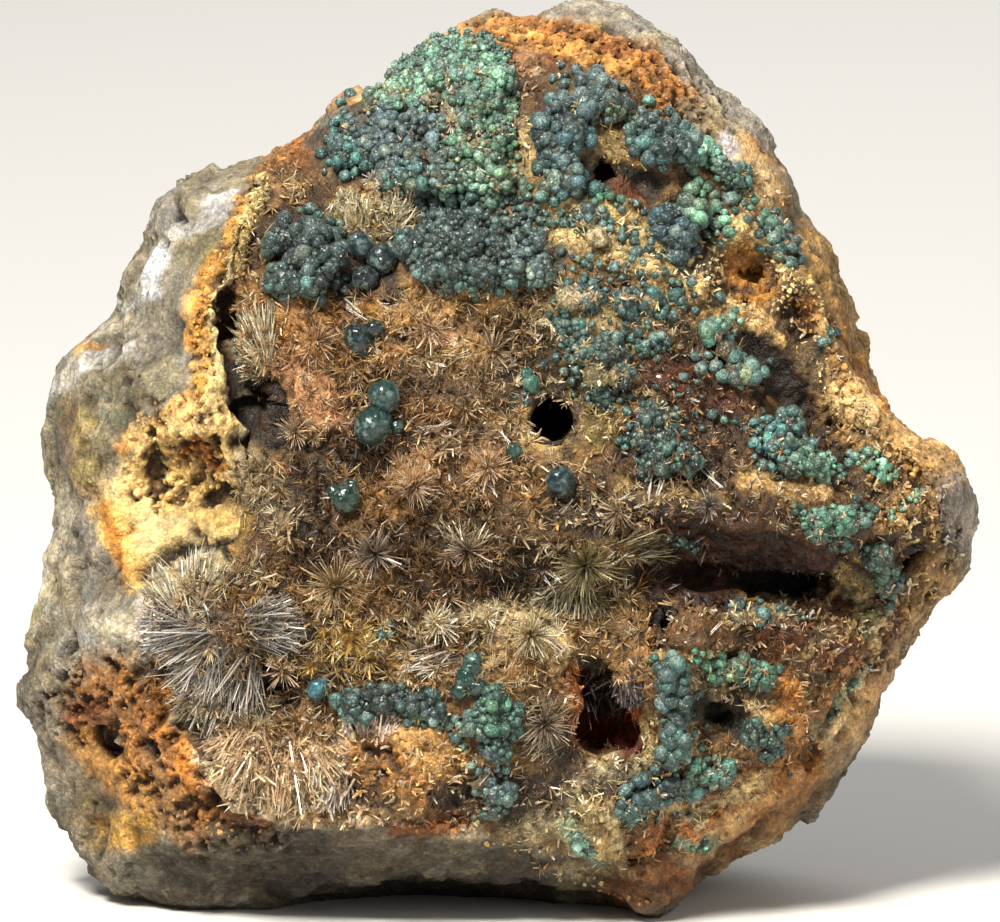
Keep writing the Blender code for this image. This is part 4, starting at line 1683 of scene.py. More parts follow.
@dataclass
class HostRock:
    """The rock that carries everything: broken and pitted, spongy in its ochre parts."""

    voxel: float = 1.08 * MM
    finer: tuple[float, float] = (-0.3, 0.05)
    relief: float = 0.45 * MM
    relief_size: float = 3.0 * MM
    swell: float = 0.7 * MM
    swell_size: float = 8.0 * MM
    chip: float = 0.7 * MM
    chip_size: float = 3.6 * MM
    pit: float = 0.5 * MM
    pit_size: float = 1.7 * MM
    crack_size: float = 9.0 * MM
    sponge: float = 1.1 * MM
    sponge_size: float = 1.9 * MM
    streak: float = 0.35 * MM
    streak_size: float = 1.3 * MM
    underside: float = 0.42
    foot: float = 1.5 * MM
    shades: float = 8.0 * MM
    rust: float = 11.0 * MM
    films: float = 6.0 * MM
    crumbs: float = 1.3 * MM

    def build(self, front: Front, finish: bpy.types.Material) -> Thing:
        """Builds the rock.

        Args:
            front: the stains of the front.
            finish: its material.

        Returns:
            The finished object.
        """
        rock = merged_copy("host_rock", "broken_host_rock")
        modify(rock, "REMESH", mode="VOXEL", voxel_size=self.voxel)
        self._refine_front(rock)
        points, normals = rows_of(rock.data.vertices, "co"), rows_of(rock.data.vertices, "normal")
        facing = normals @ VIEWER
        spongy = sponge_share(points, facing)
        warped = points + GRAIN.smooth(points, 3 * MM)[:, None] * MM
        _, _, cell = GRAIN.cells(warped, self.chip_size)
        tilt = ((cell[:, :3] - 0.5) * normals[:, [1, 2, 0]]).sum(1) + cell[:, 3] - 0.5
        near, _, _ = GRAIN.cells(points + 0.4 * MM, self.pit_size)
        pits = ramp(0.36, 0.12, near) * ramp(0.0, 0.5, GRAIN.smooth(points + 3 * MM, 7 * MM))
        cracks = ramp(0.80, 0.98, GRAIN.ridged(warped, self.crack_size, 3))
        dents = np.maximum(pits, cracks)
        holes = sponge_holes(points, self.sponge_size) * spongy
        height = GRAIN.layered(points, self.relief_size, 5, 0.65) * self.relief + tilt * self.chip * (1 - spongy)
        height += GRAIN.layered(points + 13 * MM, self.swell_size, 2) * self.swell
        under = ramp(0.1, 0.5, -normals[:, 2])
        height += GRAIN.layered(points * (0.22, 1, 1), self.streak_size, 3) * self.streak * under
        height -= dents * self.pit * (1 - spongy) + holes * self.sponge
        colours, sunk = self._colours(points, facing, height, dents * (1 - spongy), holes, front)
        height = (height - sunk * DRAWING.unit) * ramp(0.1 * MM, self.foot, points[:, 2])
        moved = points + normals * height[:, None]
        moved[:, 2] = np.maximum(moved[:, 2], 0)
        # Faces that turn downwards are painted darker: painted shade on the underside.
        return dressed(rock, moved, colours * (1 - self.underside * under)[:, None], finish)

    def _refine_front(self, rock: Thing) -> None:
        """Makes the mesh finer where the rock shows, and once more in its spongy parts.

        Args:
            rock: the remeshed rock.
        """
        for level, least in enumerate(self.finer):
            middles, normals = rows_of(rock.data.polygons, "center"), rows_of(rock.data.polygons, "normal")
            sheet = DRAWING.to_sheet(middles)
            chosen = (normals @ VIEWER > least) & (middles[:, 2] > 0.3 * MM) & ~LINING.within(sheet)
            if level:
                chosen &= np.logical_or.reduce([strip.away(sheet, 1.2) < 1.1 for strip in SPONGE])
            refine(rock, chosen)

    def _colours(
        self, points: Points, facing: Points, height: Points, dents: Points, holes: Points, front: Front
    ) -> tuple[Points, Points]:
        """Colours of the rock, painted darker as shade in low relief, pits, cracks and holes and lighter on raised
        relief, and how deep the front's stains sink it.

        Args:
            points: rows of world coordinates.
            facing: how much each point faces the viewer.
            height: relief at each point.
            dents: pits and cracks, from 0 to 1.
            holes: holes of the spongy parts, from 0 to 1.
            front: the stains of the front.

        Returns:
            Rows of colours, and depths in drawing units.
        """
        broad = GRAIN.layered(points + 3 * MM, self.shades, 4, 0.6)
        fine = GRAIN.layered(points + 7 * MM, self.crumbs, 4, 0.75)
        grey, light, dark, rusty = ROCK_BASE
        base = mix(np.tile(grey, (len(points), 1)), light, ramp(0.0, 0.8, broad + fine * 0.5))
        base = mix(base, dark, ramp(0.1, 0.8, -broad + fine * 0.6))
        base = mix(base, rusty, ramp(0.2, 0.8, GRAIN.layered(points + 31 * MM, self.rust, 5, 0.65)) * 0.75)
        for index, film in enumerate(ROCK_FILMS):
            spread = GRAIN.layered(points + (51 + 20 * index) * MM, self.films, 5, 0.7)
            base = mix(base, film, ramp(0.15, 0.75, spread) * 0.65)
        base, sunk = front.lay(points, base, facing)
        _, _, cell = GRAIN.cells(points + 2 * MM, self.crumbs)
        ochre = np.clip((base[:, 0] - base[:, 2]) / np.maximum(base[:, 0], 0.02) * 2 - 1, 0, 1)
        base = base * (1 + ochre * (cell[:, 3] - 0.5) * 0.9)[:, None]
        # Raised relief is painted lighter and low relief darker: painted light and shade.
        base = base * (1 + np.clip(height / self.relief, -1.2, 1.2) * 0.22)[:, None]
        # Pits, cracks and spongy holes are painted dark: painted shade in them.
        base = mix(base, DENT_SHADE, dents * 0.75)
        base = mix(base, HOLE_SHADE, np.clip(holes * 1.5, 0, 1) * 0.85)
        return base * (0.69 + ramp(-0.6, 0.6, fine) * 0.5)[:, None], sunk


def tuft_height(points: Points) -> Points:
    """How high the tufts of crystals stand at each point, about -1 to 1."""
    return GRAIN.layered(points + 2 * MM, 2.4 * MM, 4, 0.65)


def dressed(thing: Thing, points: Points, colours: Points, finish: bpy.types.Material) -> Thing:
    """Moves the vertices of an object, colours them and shades it smooth.

    Args:
        thing: the object.
        points: new places of its vertices.
        colours: their colours.
        finish: its material.

    Returns:
        The same object.
    """
    set_vertices(thing, points)
    set_tint(thing, colours)
    thing.data.materials.append(finish)
    thing.data.shade_smooth()
    return thing


@dataclass
class CrystalBed:
    """The grown-together foot of the crystals, which lines the hollow front."""

    voxel: float = 0.74 * MM
    finer: float = 0.12
    relief: float = 0.55 * MM
    swell: float = 0.7 * MM
    swell_size: float = 5.5 * MM
    knob: float = 0.35 * MM
    knob_size: float = 0.9 * MM
    edge: float = 0.6 * MM
    sponge: float = 0.9 * MM
    sponge_size: float = 1.9 * MM
    mouth_reach: float = 2.5
    lightness: float = 0.72

    def build(self, front: Front, finish: bpy.types.Material) -> Thing:
        """Builds the bed.

        Args:
            front: the stains of the front.
            finish: its material.

        Returns:
            The finished object.
        """
        bed = merged_copy("hemimorphite_crust", "crystal_bed")
        modify(bed, "REMESH", mode="VOXEL", voxel_size=self.voxel)
        modify(bed, "SMOOTH", factor=0.5, iterations=3)
        refine(bed, rows_of(bed.data.polygons, "normal") @ VIEWER > self.finer)
        points, normals = rows_of(bed.data.vertices, "co"), rows_of(bed.data.vertices, "normal")
        sheet, facing = DRAWING.to_sheet(points), normals @ VIEWER
        near, following, _ = GRAIN.cells(points + GRAIN.smooth(points, MM)[:, None] * 0.4 * MM, self.knob_size)
        swell = GRAIN.layered(points + 19 * MM, self.swell_size, 2)
        height = tuft_height(points) * self.relief + swell * self.swell
        height += (ramp(0.0, 0.6, following - near) - 0.6) * self.knob
        holes = sponge_holes(points, self.sponge_size) * sponge_share(points, facing)
        height = (height - holes * self.sponge) * ramp(-0.1, 0.3, facing)
        height += self.edge * ramp(0.5, 0.2, np.abs(facing))
        for mouth in MOUTHS:
            away = mouth.away(sheet, self.mouth_reach)
            flat = np.minimum(height, height * ramp(1.2, 2.2, away))
            height = np.where(away < self.mouth_reach, flat, height)
            height -= mouth.depth * DRAWING.unit * ramp(1.3, 0.9, away)
        fine = GRAIN.layered(points + 7 * MM, 1.1 * MM, 4, 0.75)
        body, light, dark = BED_BASE
        base = mix(np.tile(body, (len(points), 1)), light, ramp(0.0, 0.8, fine))
        base, sunk = front.lay(points, base, facing)
        # Low places are painted dark and the spongy holes near-black: painted shade in the hollows.
        base = mix(base, dark, ramp(0.0, 0.6 * MM, -height) * 0.8)
        base = mix(base, HOLE_SHADE, np.clip(holes * 1.4, 0, 1) * 0.8)
        # Broad swells are painted lighter on their crests and darker in their dips: painted light and shade.
        shade = (0.7 + ramp(-0.6, 0.6, fine) * 0.6) * self.lightness * np.exp(0.3 * swell)
        height -= sunk * DRAWING.unit * ramp(0.0, 0.4, facing)
        return dressed(bed, points + normals * height[:, None], base * WARM * shade[:, None], finish)


@dataclass(frozen=True)
class Carpet(Strip):
    """Tufts of needles crowded inside an outline.

    Widths, gap and length are in drawing units, spread and lean in degrees; pale is the share of almost white
    needles, partly white crystals and partly painted glints. The half width is that of a needle.
    """

    gap: float
    length: float
    count: int = 16
    spread: float = 62.0
    lean: float = 55.0
    pale: float = 0.06


# Needle width, gap, length, count, spread, lean, pale, outline
CARPETS_LEFT = read(Carpet, """
1.9 8.6 15 22 62 55 0.06 240,300 300,285 350,298 420,285 540,290 545,350 525,395 540,455 545,520 520,560 \
    400,570 290,560 240,520 232,440 285,440 290,395 245,385
1.9 9 17 22 62 55 0.06 225,560 300,550 520,555 560,640 545,690 350,690 300,725 215,730 150,690 145,640 150,600
2.2 10 15 14 60 50 0.15 205,730 340,705 350,800 300,812 235,800
1.9 10 15 17 62 45 0.2 325,190 420,185 425,250 340,250
1.8 10 14 15 62 50 0.06 250,180 300,160 320,200 285,215 280,290 250,300 240,250
""")
CARPETS_RIGHT = read(Carpet, """
1.8 9.5 17 18 62 50 0.12 545,540 640,535 660,600 640,640 560,650 520,600
1.9 11 10 11 66 45 0.14 545,205 690,215 700,330 640,420 585,450 520,385 530,300
1.9 11 10 11 66 45 0.08 700,300 745,330 760,380 730,400 640,400 660,330
1.9 10 13 14 62 50 0.16 540,455 640,470 740,480 800,500 840,545 760,520 640,520 560,540
1.9 11 11 11 66 45 0.06 620,395 740,395 800,480 640,475 600,440
1.9 10 14 14 62 50 0.1 630,520 700,525 730,550 660,560 640,600
1.9 11 11 11 66 50 0.1 560,660 520,700 520,800 600,850 700,850 800,760 850,640 760,610 700,650 640,650 575,655
1.9 11 11 11 62 45 0.1 720,160 760,180 790,220 740,240
1.8 11 10 11 66 45 0.06 430,730 470,740 500,800 420,790
""")
CRUST_LEFT = read(Carpet, """
1.9 9.5 12 5 75 60 0.07 240,300 300,285 350,298 420,285 540,290 545,350 525,395 540,455 545,520 520,560 \
    400,570 290,560 240,520 232,440 285,440 290,395 245,385
2 10 13 5 75 60 0.12 225,560 300,550 520,555 560,640 545,690 350,690 300,725 215,730 150,690 145,640 150,600
2.4 9 14 7 75 60 0.25 205,730 340,705 350,800 300,812 235,800
2.3 9 12 6 75 60 0.2 325,190 420,185 425,250 340,250
2.3 9 12 5 75 60 0.06 250,180 300,160 320,200 285,215 280,290 250,300 240,250
3 8 9 5 80 60 0.12 345,700 470,705 500,800 470,824 330,822 300,812 350,800
2.4 11.5 9 6 80 50 0.15 345,130 400,80 480,58 515,100 515,190 400,190 350,165
2.6 7 8 5 80 50 0.15 515,60 535,70 540,160 520,165
""")
CRUST_RIGHT = read(Carpet, """
1.9 10 13 5 75 60 0.14 530,540 640,535 690,600 640,660 560,660 520,600
2.2 8.5 9 5 80 60 0.16 545,205 740,235 700,330 740,395 640,425 585,450 520,385 530,300
2.2 8.5 9 5 80 60 0.14 540,455 600,440 740,395 800,480 900,480 900,540 840,560 760,520 640,545 560,540
2.3 9 9 5 80 60 0.12 640,600 760,595 850,600 860,640 800,740 760,800 690,850 560,880 500,830 510,760 570,660 \
    640,665
2.4 9 9 5 80 60 0.12 720,150 780,190 800,230 740,230
2.4 11 8 6 80 50 0.12 550,75 620,85 640,110 590,130 595,200 548,195
2.4 9 9 5 80 60 0.12 590,120 640,110 640,175 600,180
2 6 9 6 75 60 0.1 690,598 850,600 855,628 690,622
1.9 6 8 6 75 60 0.04 690,545 745,560 850,566 850,580 740,578 690,565
2.9 8 8 5 80 60 0.1 800,410 880,425 950,480 960,560 900,640 850,700 800,660 860,600 890,520 820,470
2.6 8 8 5 80 60 0.1 780,250 812,280 845,370 880,430 820,400 790,345
""")


@dataclass(frozen=True)
class Rosette:
    """One large round spray: place, length and number of its needles, where it points, and its colours."""

    x: float
    y: float
    length: float = 24
    count: int = 110
    towards: tuple[float, float, float] = (0.0, 0.0, 1.0)
    spread: float = 80.0
    colours: tuple[str, str, str] | None = None
    width: float = 1.25
    pale: float = 0.04


# Spray colours run root, body, tip: dark roots are painted shade among the needles, and pale tips are partly their
# own colour and partly painted light.
CREAM = ("8a6a44", "d0b68a", "f4e8cc")
ROSETTES = (
    Rosette(320, 342, 22), Rosette(432, 330, 24), Rosette(494, 352), Rosette(296, 432, 20), Rosette(488, 467, 26),
    Rosette(416, 487, 26), Rosette(376, 553, 30, 150), Rosette(468, 549, 26), Rosette(440, 622, 24),
    Rosette(586, 566, 36, 300, (-0.1, 0.2, 1), 80, ("3c3424", "645a40", "a09468")),
    Rosette(338, 585, 38, 300, (0.0, 0.1, 1), 84, ("2e2216", "80653f", "cdb285")),
    Rosette(530, 633, 28, 200, (0.1, 0.0, 1), 80, ("6e5634", "b39566", "ecd9b0")),
    Rosette(284, 669, 22), Rosette(545, 722, 30, 200), Rosette(706, 505, 18), Rosette(618, 512, 24),
    Rosette(442, 100, 13, 90, (0, 0, 1), 74, CREAM, 1.8),
    Rosette(452, 124, 14, 100, (0, 0, 1), 74, CREAM, 1.8),
    Rosette(372, 180, 13, 90, (0, 0, 1), 74, ("8d8474", "cfc6b6", "f4efe6"), 1.8),
    Rosette(345, 200, 14, 90, (-0.3, 0, 1), 74, ("7d6a48", "c4ae84", "eee0c4"), 1.8),
    Rosette(392, 205, 16, 100, (0.2, 0.1, 1), 74, ("7d7048", "b8ac80", "e8e0c0"), 1.8),
    Rosette(355, 228, 15, 90, (0, 0.3, 1), 74, ("7d5c38", "bb9868", "ead2a8"), 1.8),
    Rosette(398, 234, 14, 90, (0.2, 0.3, 1), 74, ("7d6440", "bb9c70", "ead6b0"), 1.8),
)


@dataclass(frozen=True)
class Fan:
    """A fan of blades: a chain for the roots, one for the rim, how far it stands off, and its colours."""

    roots: str
    rim: str
    count: int
    rise: float
    colours: tuple[str, str, str]
    width: float = 1.5
    loose: float = 1.0


# Fan colours run root, body, tip: dark roots are painted shade, and pale rims are partly their own colour and partly
# painted light.
GREY_FAN = ("2a2524", "625a56", "b8b0a8")
FANS = (
    Fan("268,378 272,368", "242,382 237,340 241,312 254,300 276,300", 460, 12, ("5d5238", "8f846a", "c4b998"),
        1.6, 0.45),
    Fan("244,372 238,340 244,312", "239,374 234,338 241,306", 110, 9, ("b0a688", "d0c6a8", "e8e0c8"), 1.7, 0.45),
    Fan("172,614 205,614", "143,584 150,572 172,560 197,551 215,553 232,560", 380, 9, ("4a4034", "9a8e74", "e0d4b6")),
    Fan("212,632 232,618", "150,606 146,622 147,640 154,656 174,664", 330, 6, GREY_FAN),
    Fan("168,606 172,640", "150,600 140,622 143,652", 90, 6, ("a8a098", "d8d2ca", "f2eeea"), 1.9),
    Fan("200,640 225,640", "160,660 185,690 215,705", 210, 5, ("3a3432", "7a726c", "c8c0b8")),
    Fan("240,612 252,640", "285,592 300,602 312,622 308,645 290,655", 280, 7, GREY_FAN),
    Fan("232,728 262,722 300,735 325,742", "204,750 215,778 240,806 290,817 330,792 343,770", 620, 9,
        ("84603c", "cca478", "e6c8a0"), 1.9),
    Fan("222,644 262,655", "165,680 176,712 205,735 240,722 262,712", 300, 6, ("4a433c", "847d70", "ccc4b8")),
    Fan("335,780 350,768", "312,798 322,812 340,810 356,800", 90, 7, ("b08c70", "dcc2a8", "f4e8dc"), 2.0),
    Fan("352,738 392,732", "345,714 360,705 385,706 402,716", 130, 7, ("b08c70", "dcc2a8", "f0dccc"), 2.0),
    Fan("352,232 402,228", "334,205 350,192 378,188 405,193 428,212", 130, 7, ("7d7044", "b4a87c", "e4dcc0")),
    Fan("600,548 640,560", "655,520 676,540 682,562", 80, 6, ("5a4c30", "8a8060", "c0b890")),
    Fan("560,575 590,590", "520,600 540,622 575,625 610,612", 220, 8, ("4c4430", "6f664e", "b0a688")),
    Fan("556,700 566,740", "520,706 512,728 520,752 545,764", 130, 7, ("4c3e2c", "6e5c48", "b8a888")),
    Fan("585,668 632,672", "580,702 596,716 622,716 642,700", 260, 9, ("0c0808", "2c2226", "6a5c5c"), 1.9),
    Fan("450,640 474,660", "398,655 402,672 420,676", 90, 7, ("6a5c44", "a8987c", "ece4d4")),
    Fan("455,548 470,545", "430,520 470,515 500,535", 90, 7, ("5c4a30", "9a8460", "dccba4")),
)

WHITE_NEEDLES = (
    "425,436 452,421", "421,431 446,424", "415,360 446,367", "540,572 556,587", "546,570 560,582",
    "582,577 624,541", "596,575 628,552", "575,572 606,540", "534,617 569,655", "528,620 556,650",
    "488,640 496,606", "462,648 478,634", "402,672 419,660", "334,648 341,655", "338,590 341,602",
    "646,494 651,476", "654,495 662,478", "638,470 668,460", "345,300 362,312", "347,307 366,322",
    "489,484 497,497", "484,460 494,475", "628,508 640,505", "616,500 632,494", "700,470 722,488",
    "398,655 440,640", "405,662 448,650", "690,650 730,610", "665,612 690,632", "500,430 508,444",
    "258,605 266,598", "270,630 285,640", "205,600 212,612", "452,360 470,354", "560,510 572,500",
)



class Grower:
    """Sets many copies of small shapes on built ground."""

    def __init__(self, ground: Ground, front: Front, seed: int) -> None:
        """Keeps what the shapes stand on and its colours, and starts the random numbers.

        Args:
            ground: what the shapes stand on.
            front: the stains that colour them.
            seed: start of the random numbers.
        """
        self.ground = ground
        self.front = front
        self.draw = np.random.default_rng(seed)


class Needles(Grower):
    """Needle crystals in radiating sprays."""

    DEEPEST = 6.0
    ROOT_DEPTH = 0.25 * MM
    FLATNESS = 0.7
    STRAW, RUST, SOOT = hue("e8d2a6"), hue("b57c40"), hue("2a1c12")
    CREAM_TIP, ROSETTE_TIP = hue("f3e8d2"), hue("eee4d4")
    PALE_BODY, PALE_TIP = hue("cfc5b4"), hue("f4efe6")
    WHITE, GLINT = hue("f4f0e8"), hue("d4e0dc")
    LONGEST_WHITE = 4.5 * MM

    def __init__(self, ground: Ground, front: Front, seed: int) -> None:
        """Starts with no needles."""
        super().__init__(ground, front, seed)
        self.rows: list[tuple[Points, Points, Points]] = []

    def carpet(self, shape: Carpet) -> None:
        """Fills an outline with overlapping tufts in the front's colours.

        Args:
            shape: the outline and its tufts.
        """
        outline = Chain(shape.places)
        places = scattered(self.draw, outline.places.min(0), outline.places.max(0), shape.gap)
        _, points, normals = self.ground.seats(places[outline.within(places)], 6)
        facing = normals @ VIEWER
        body, sunk = self.front.lay(points, np.tile(BED_BASE[1], (len(points), 1)), facing)
        shown = (sunk < self.DEEPEST) & (facing > -0.1)
        points, normals, body = points[shown], normals[shown], body[shown]
        count = len(points)
        lean = np.radians(shape.lean) * self.draw.random(count)
        aside = unit(np.cross(normals, self.draw.normal(size=(count, 3))))
        axes = normals * np.cos(lean)[:, None] + aside * np.sin(lean)[:, None]
        tuft = tuft_height(points)
        body = mix(body * WARM, self.STRAW, self.draw.random(count) ** 2 * 0.5 * ramp(0.02, 0.6, body.sum(1)))
        body = mix(body, self.RUST, self.draw.random(count) ** 3 * 0.4)
        body = mix(body, self.SOOT, self.draw.random(count) ** 2 * 0.6)
        # Tufts that stand higher are painted lighter and low ones darker: painted light and shade.
        body = body * (np.exp(0.7 * tuft) * self.draw.uniform(0.75, 1.4, count))[:, None]
        light = ramp(0.08, 0.9, body.sum(1))
        # Roots are painted dark as shade among the needles; tips are paler, most on high tufts, partly their own pale
        # ends and partly painted light.
        tones = (body * 0.3, body, mix(body * 1.55, self.CREAM_TIP, ramp(-0.4, 0.8, tuft) * 0.45 * light))
        lengths = self.draw.uniform(0.7, 1.35, count) * shape.length
        points = points + normals * (self.draw.uniform(-0.3, 0.5, count) * MM)[:, None]
        self._grow(points, normals, axes, tones, lengths, shape)

    def rosette(self, shape: Rosette) -> None:
        """Adds one large round spray.

        Args:
            shape: the spray.
        """
        _, points, normals = self.ground.seats(np.array([[shape.x, shape.y]]), 16)
        axis = DRAWING.direction(*shape.towards)[None, :]
        if shape.colours is None:
            body, _ = self.front.lay(points, BED_BASE[1][None, :], normals @ VIEWER)
            axis = unit(axis + normals)
            # Dark roots are painted shade among the needles; pale tips are partly their own colour and partly painted
            # light.
            tones = (body * 0.2, body * 0.9, mix(body * 1.3, self.ROSETTE_TIP, np.array([0.3])))
        else:
            tones = tuple(hue(code)[None, :] for code in shape.colours)
        self._grow(points, normals, axis, tones, np.array([shape.length]), shape)

    def fan(self, shape: Fan) -> None:
        """Adds one fan, whose blades run from the roots to the rim.

        Args:
            shape: the fan.
        """
        at = self.draw.random(shape.count)
        starts = Chain(shape.roots).along(at) + self.draw.normal(0, 4.5 * shape.loose, (shape.count, 2))
        ends = Chain(shape.rim).along(np.clip(at + self.draw.normal(0, 0.09 * shape.loose, shape.count), 0, 1))
        begun = self.draw.uniform(0.0, 0.8, (shape.count, 1))
        starts = starts + (ends - starts) * begun
        ends = starts + (ends - starts) * self.draw.uniform(0.4, 1.06, (shape.count, 1))
        kept, roots, normals = self.ground.seats(starts, 5)
        found, tips, _ = self.ground.seats(ends[kept], 5)
        roots, normals = roots[found], normals[found]
        share = self.draw.random(len(tips)) ** 0.7
        tips = tips + VIEWER * (share * shape.rise * DRAWING.unit)[:, None]
        aims = tips - roots
        long = np.linalg.norm(aims, axis=1)
        shade = (0.35 + 0.85 * share)[:, None] * np.exp(self.draw.normal(0, 0.32, (len(tips), 1)))
        root, body, tip = (hue(code) * shade for code in shape.colours)
        aims = unit(aims) + self.draw.normal(0, 0.22 * shape.loose, (len(tips), 3))
        self._place(roots, unit(aims), long, shape.width, (root, body, tip), 0.03)

    def _grow(
        self,
        points: Points,
        normals: Points,
        axes: Points,
        tones: tuple[Points, Points, Points],
        lengths: Points,
        shape: Carpet | Rosette,
    ) -> None:
        """Grows the needles of many sprays at once.

        Args:
            points: rows of roots.
            normals: rows of ground normals.
            axes: rows of directions the sprays point to.
            tones: rows of root, body and tip colours.
            lengths: length of each spray's needles, in drawing units.
            shape: how many needles a spray has, how wide they are and how far they spread.
        """
        count = shape.count
        total = len(points) * count
        points, normals, axes, lengths = (np.repeat(rows, count, axis=0) for rows in (points, normals, axes, lengths))
        side = unit(np.cross(axes, self.draw.normal(size=(len(axes), 3))))
        away = np.radians(shape.spread) * self.draw.random(total) ** 0.6
        aims = axes * np.cos(away)[:, None] + side * np.sin(away)[:, None]
        out = (aims * normals).sum(1)
        aims = unit(aims + normals * np.where(out < 0.1, 0.12 - out, 0)[:, None])
        long = lengths * DRAWING.unit * self.draw.uniform(0.35, 1.15, total)
        shade = np.exp(self.draw.normal(0, 0.4, (total, 1)))
        tones = tuple(np.repeat(rows, count, axis=0) * shade for rows in tones)
        roots = points - normals * self.ROOT_DEPTH + aims * (0.06 * long)[:, None]
        self._place(roots, aims, long, shape.width, tones, shape.pale)

    def _place(
        self, roots: Points, aims: Points, long: Points, width: float, tones: tuple[Points, ...], pale: float
    ) -> None:
        """Stores needles with a random roll and thickness.

        Args:
            roots: rows of roots.
            aims: rows of directions.
            long: length of each needle in metres.
            width: width of a needle, in drawing units.
            tones: rows of root, body and tip colours.
            pale: share of almost white needles.
        """
        total = len(roots)
        wide = unit(np.cross(aims, self.draw.normal(size=(total, 3))))
        thick = width * DRAWING.unit * self.draw.uniform(0.6, 1.4, total)
        flat = np.cross(aims, wide) * (thick * self.FLATNESS)[:, None]
        turns = np.stack([wide * thick[:, None], flat, aims * long[:, None]], axis=2)
        root, body, tip = tones
        # Almost white needles: partly white crystals and partly painted glints.
        white = self.draw.random(total) < pale
        body[white] = mix(body[white], self.PALE_BODY, np.full(white.sum(), 0.45))
        tip[white] = mix(tip[white], self.PALE_TIP, np.full(white.sum(), 0.65))
        self.rows.append((turns, roots, np.stack([0.5 * (root + body), tip], axis=1)))

    def glints(self, spots: list[Points], share: float) -> None:
        """Sets tiny pale crystals, partly the balls' sugary druse and partly painted glints, on some of the given
        points, each with its normal.

        Args:
            spots: points, each with its normal.
            share: share of the points that get one.
        """
        rows = np.concatenate(spots)
        rows = rows[self.draw.random(len(rows)) < share]
        pale = np.tile(self.GLINT, (len(rows), 1)) * self.draw.uniform(0.15, 1.0, (len(rows), 1)) ** 1.5
        long = self.draw.uniform(0.12, 0.3, len(rows)) * MM
        aims = unit(rows[:, 1] + self.draw.normal(size=(len(rows), 3)) * 0.6)
        self._place(rows[:, 0], aims, long, 1.7, (pale * 0.8, pale, pale), 0.0)

    def build(self, name: str, pattern: Pattern, finish: bpy.types.Material) -> Thing:
        """Joins the needles so far into one object.

        Args:
            name: the object's name.
            pattern: the needle that is copied.
            finish: its material.

        Returns:
            The finished object.
        """
        turns, places, colours = (np.concatenate([row[part] for row in self.rows]) for part in range(3))
        made = pattern.copies(name, turns, places, smooth=False)
        at_tip = (pattern.points[:, 2] > 0.5).astype(int)
        set_tint(made, colours[:, at_tip].reshape(-1, 3))
        made.data.materials.append(finish)
        self.rows = []
        return made

    def white_needles(self, chains: tuple[str, ...]) -> None:
        """Lays single white needles, each from its root to its tip on the drawing.

        Args:
            chains: root and tip of each needle.
        """
        ends = np.array([Chain(chain).places for chain in chains])
        ends = ends[:, None] + self.draw.normal(0, 1.8, (len(ends), 3, 2, 2))
        ends = ends.reshape(-1, 2, 2)
        _, roots, _ = self.ground.seats(ends[:, 0])
        _, tips, _ = self.ground.seats(ends[:, 1])
        aims = tips + VIEWER * 0.9 * MM - roots
        long = np.minimum(np.linalg.norm(aims, axis=1), self.LONGEST_WHITE)
        pale = np.tile(self.WHITE, (len(aims), 1))
        # Roots are painted darker as shade.
        self._place(roots, unit(aims), long, 1.3, (pale * 0.6, pale * 0.8, pale), 0.0)


@dataclass(frozen=True)
class Grit(Strip):
    """Loose-looking grains over a strip: their size and how far apart they lie."""

    size: float
    gap: float


# Half width, size, gap, places
GRITS = read(Grit, """
15 2.2 5 292,140 262,180 240,225 215,275 205,340 205,400
34 2.6 6 160,425 205,430 200,480 158,485
42 2.4 7 85,700 110,690 150,740 190,790 250,825
22 2.4 6 480,34 530,34 600,48 650,80 690,112
11 2.2 5 735,228 706,290 757,318 800,290 738,228
26 2.4 7.5 790,290 830,340 850,400 900,440 940,480
34 2.4 8.5 880,470 930,540 900,620 850,690
9 2.4 6 215,735 245,800 300,818 400,822 470,824 560,872 640,900
9 2.4 6 330,150 380,100 440,60 470,42
9 2.2 5.5 268,190 245,240 238,300
9 2.6 7 800,225 815,300 840,380 880,430
34 2.4 9 700,820 780,760 830,690
""")


class Grains(Grower):
    """Angular grains that make ochre, cream and tan parts crumbly."""

    DEEPEST = 5.0

    def build(self, name: str, grits: tuple[Grit, ...], finish: bpy.types.Material) -> Thing:
        """Strews the grains and joins them into one object.

        Args:
            name: the object's name.
            grits: the strewn parts.
            finish: its material.

        Returns:
            The finished object.
        """
        points, sizes = [], []
        for grit in grits:
            places = grit.strewn(self.draw, grit.gap)
            places = places[grit.away(places) < self.draw.uniform(0.6, 1, len(places))]
            _, seats, normals = self.ground.seats(places, 6)
            size = grit.size * DRAWING.unit * self.draw.uniform(0.5, 1.3, len(seats))
            points.append(seats + normals * (size * 0.15)[:, None])
            sizes.append(size)
        places, size = np.concatenate(points), np.concatenate(sizes)
        body, sunk = self.front.lay(places, np.tile(BED_BASE[1], (len(places), 1)), np.ones(len(places)))
        shown = sunk < self.DEEPEST
        places, size, body = places[shown], size[shown], body[shown]
        stretch = size[:, None] * self.draw.uniform(0.5, 1.5, (len(size), 3))
        pattern = crumb_pattern(self.draw)
        made = pattern.copies(name, random_turns(self.draw, stretch), places, smooth=False)
        shade = np.exp(self.draw.normal(-0.05, 0.25, (len(size), 1)))
        set_tint(made, np.repeat(body * shade, len(pattern.points), axis=0))
        made.data.materials.append(finish)
        return made


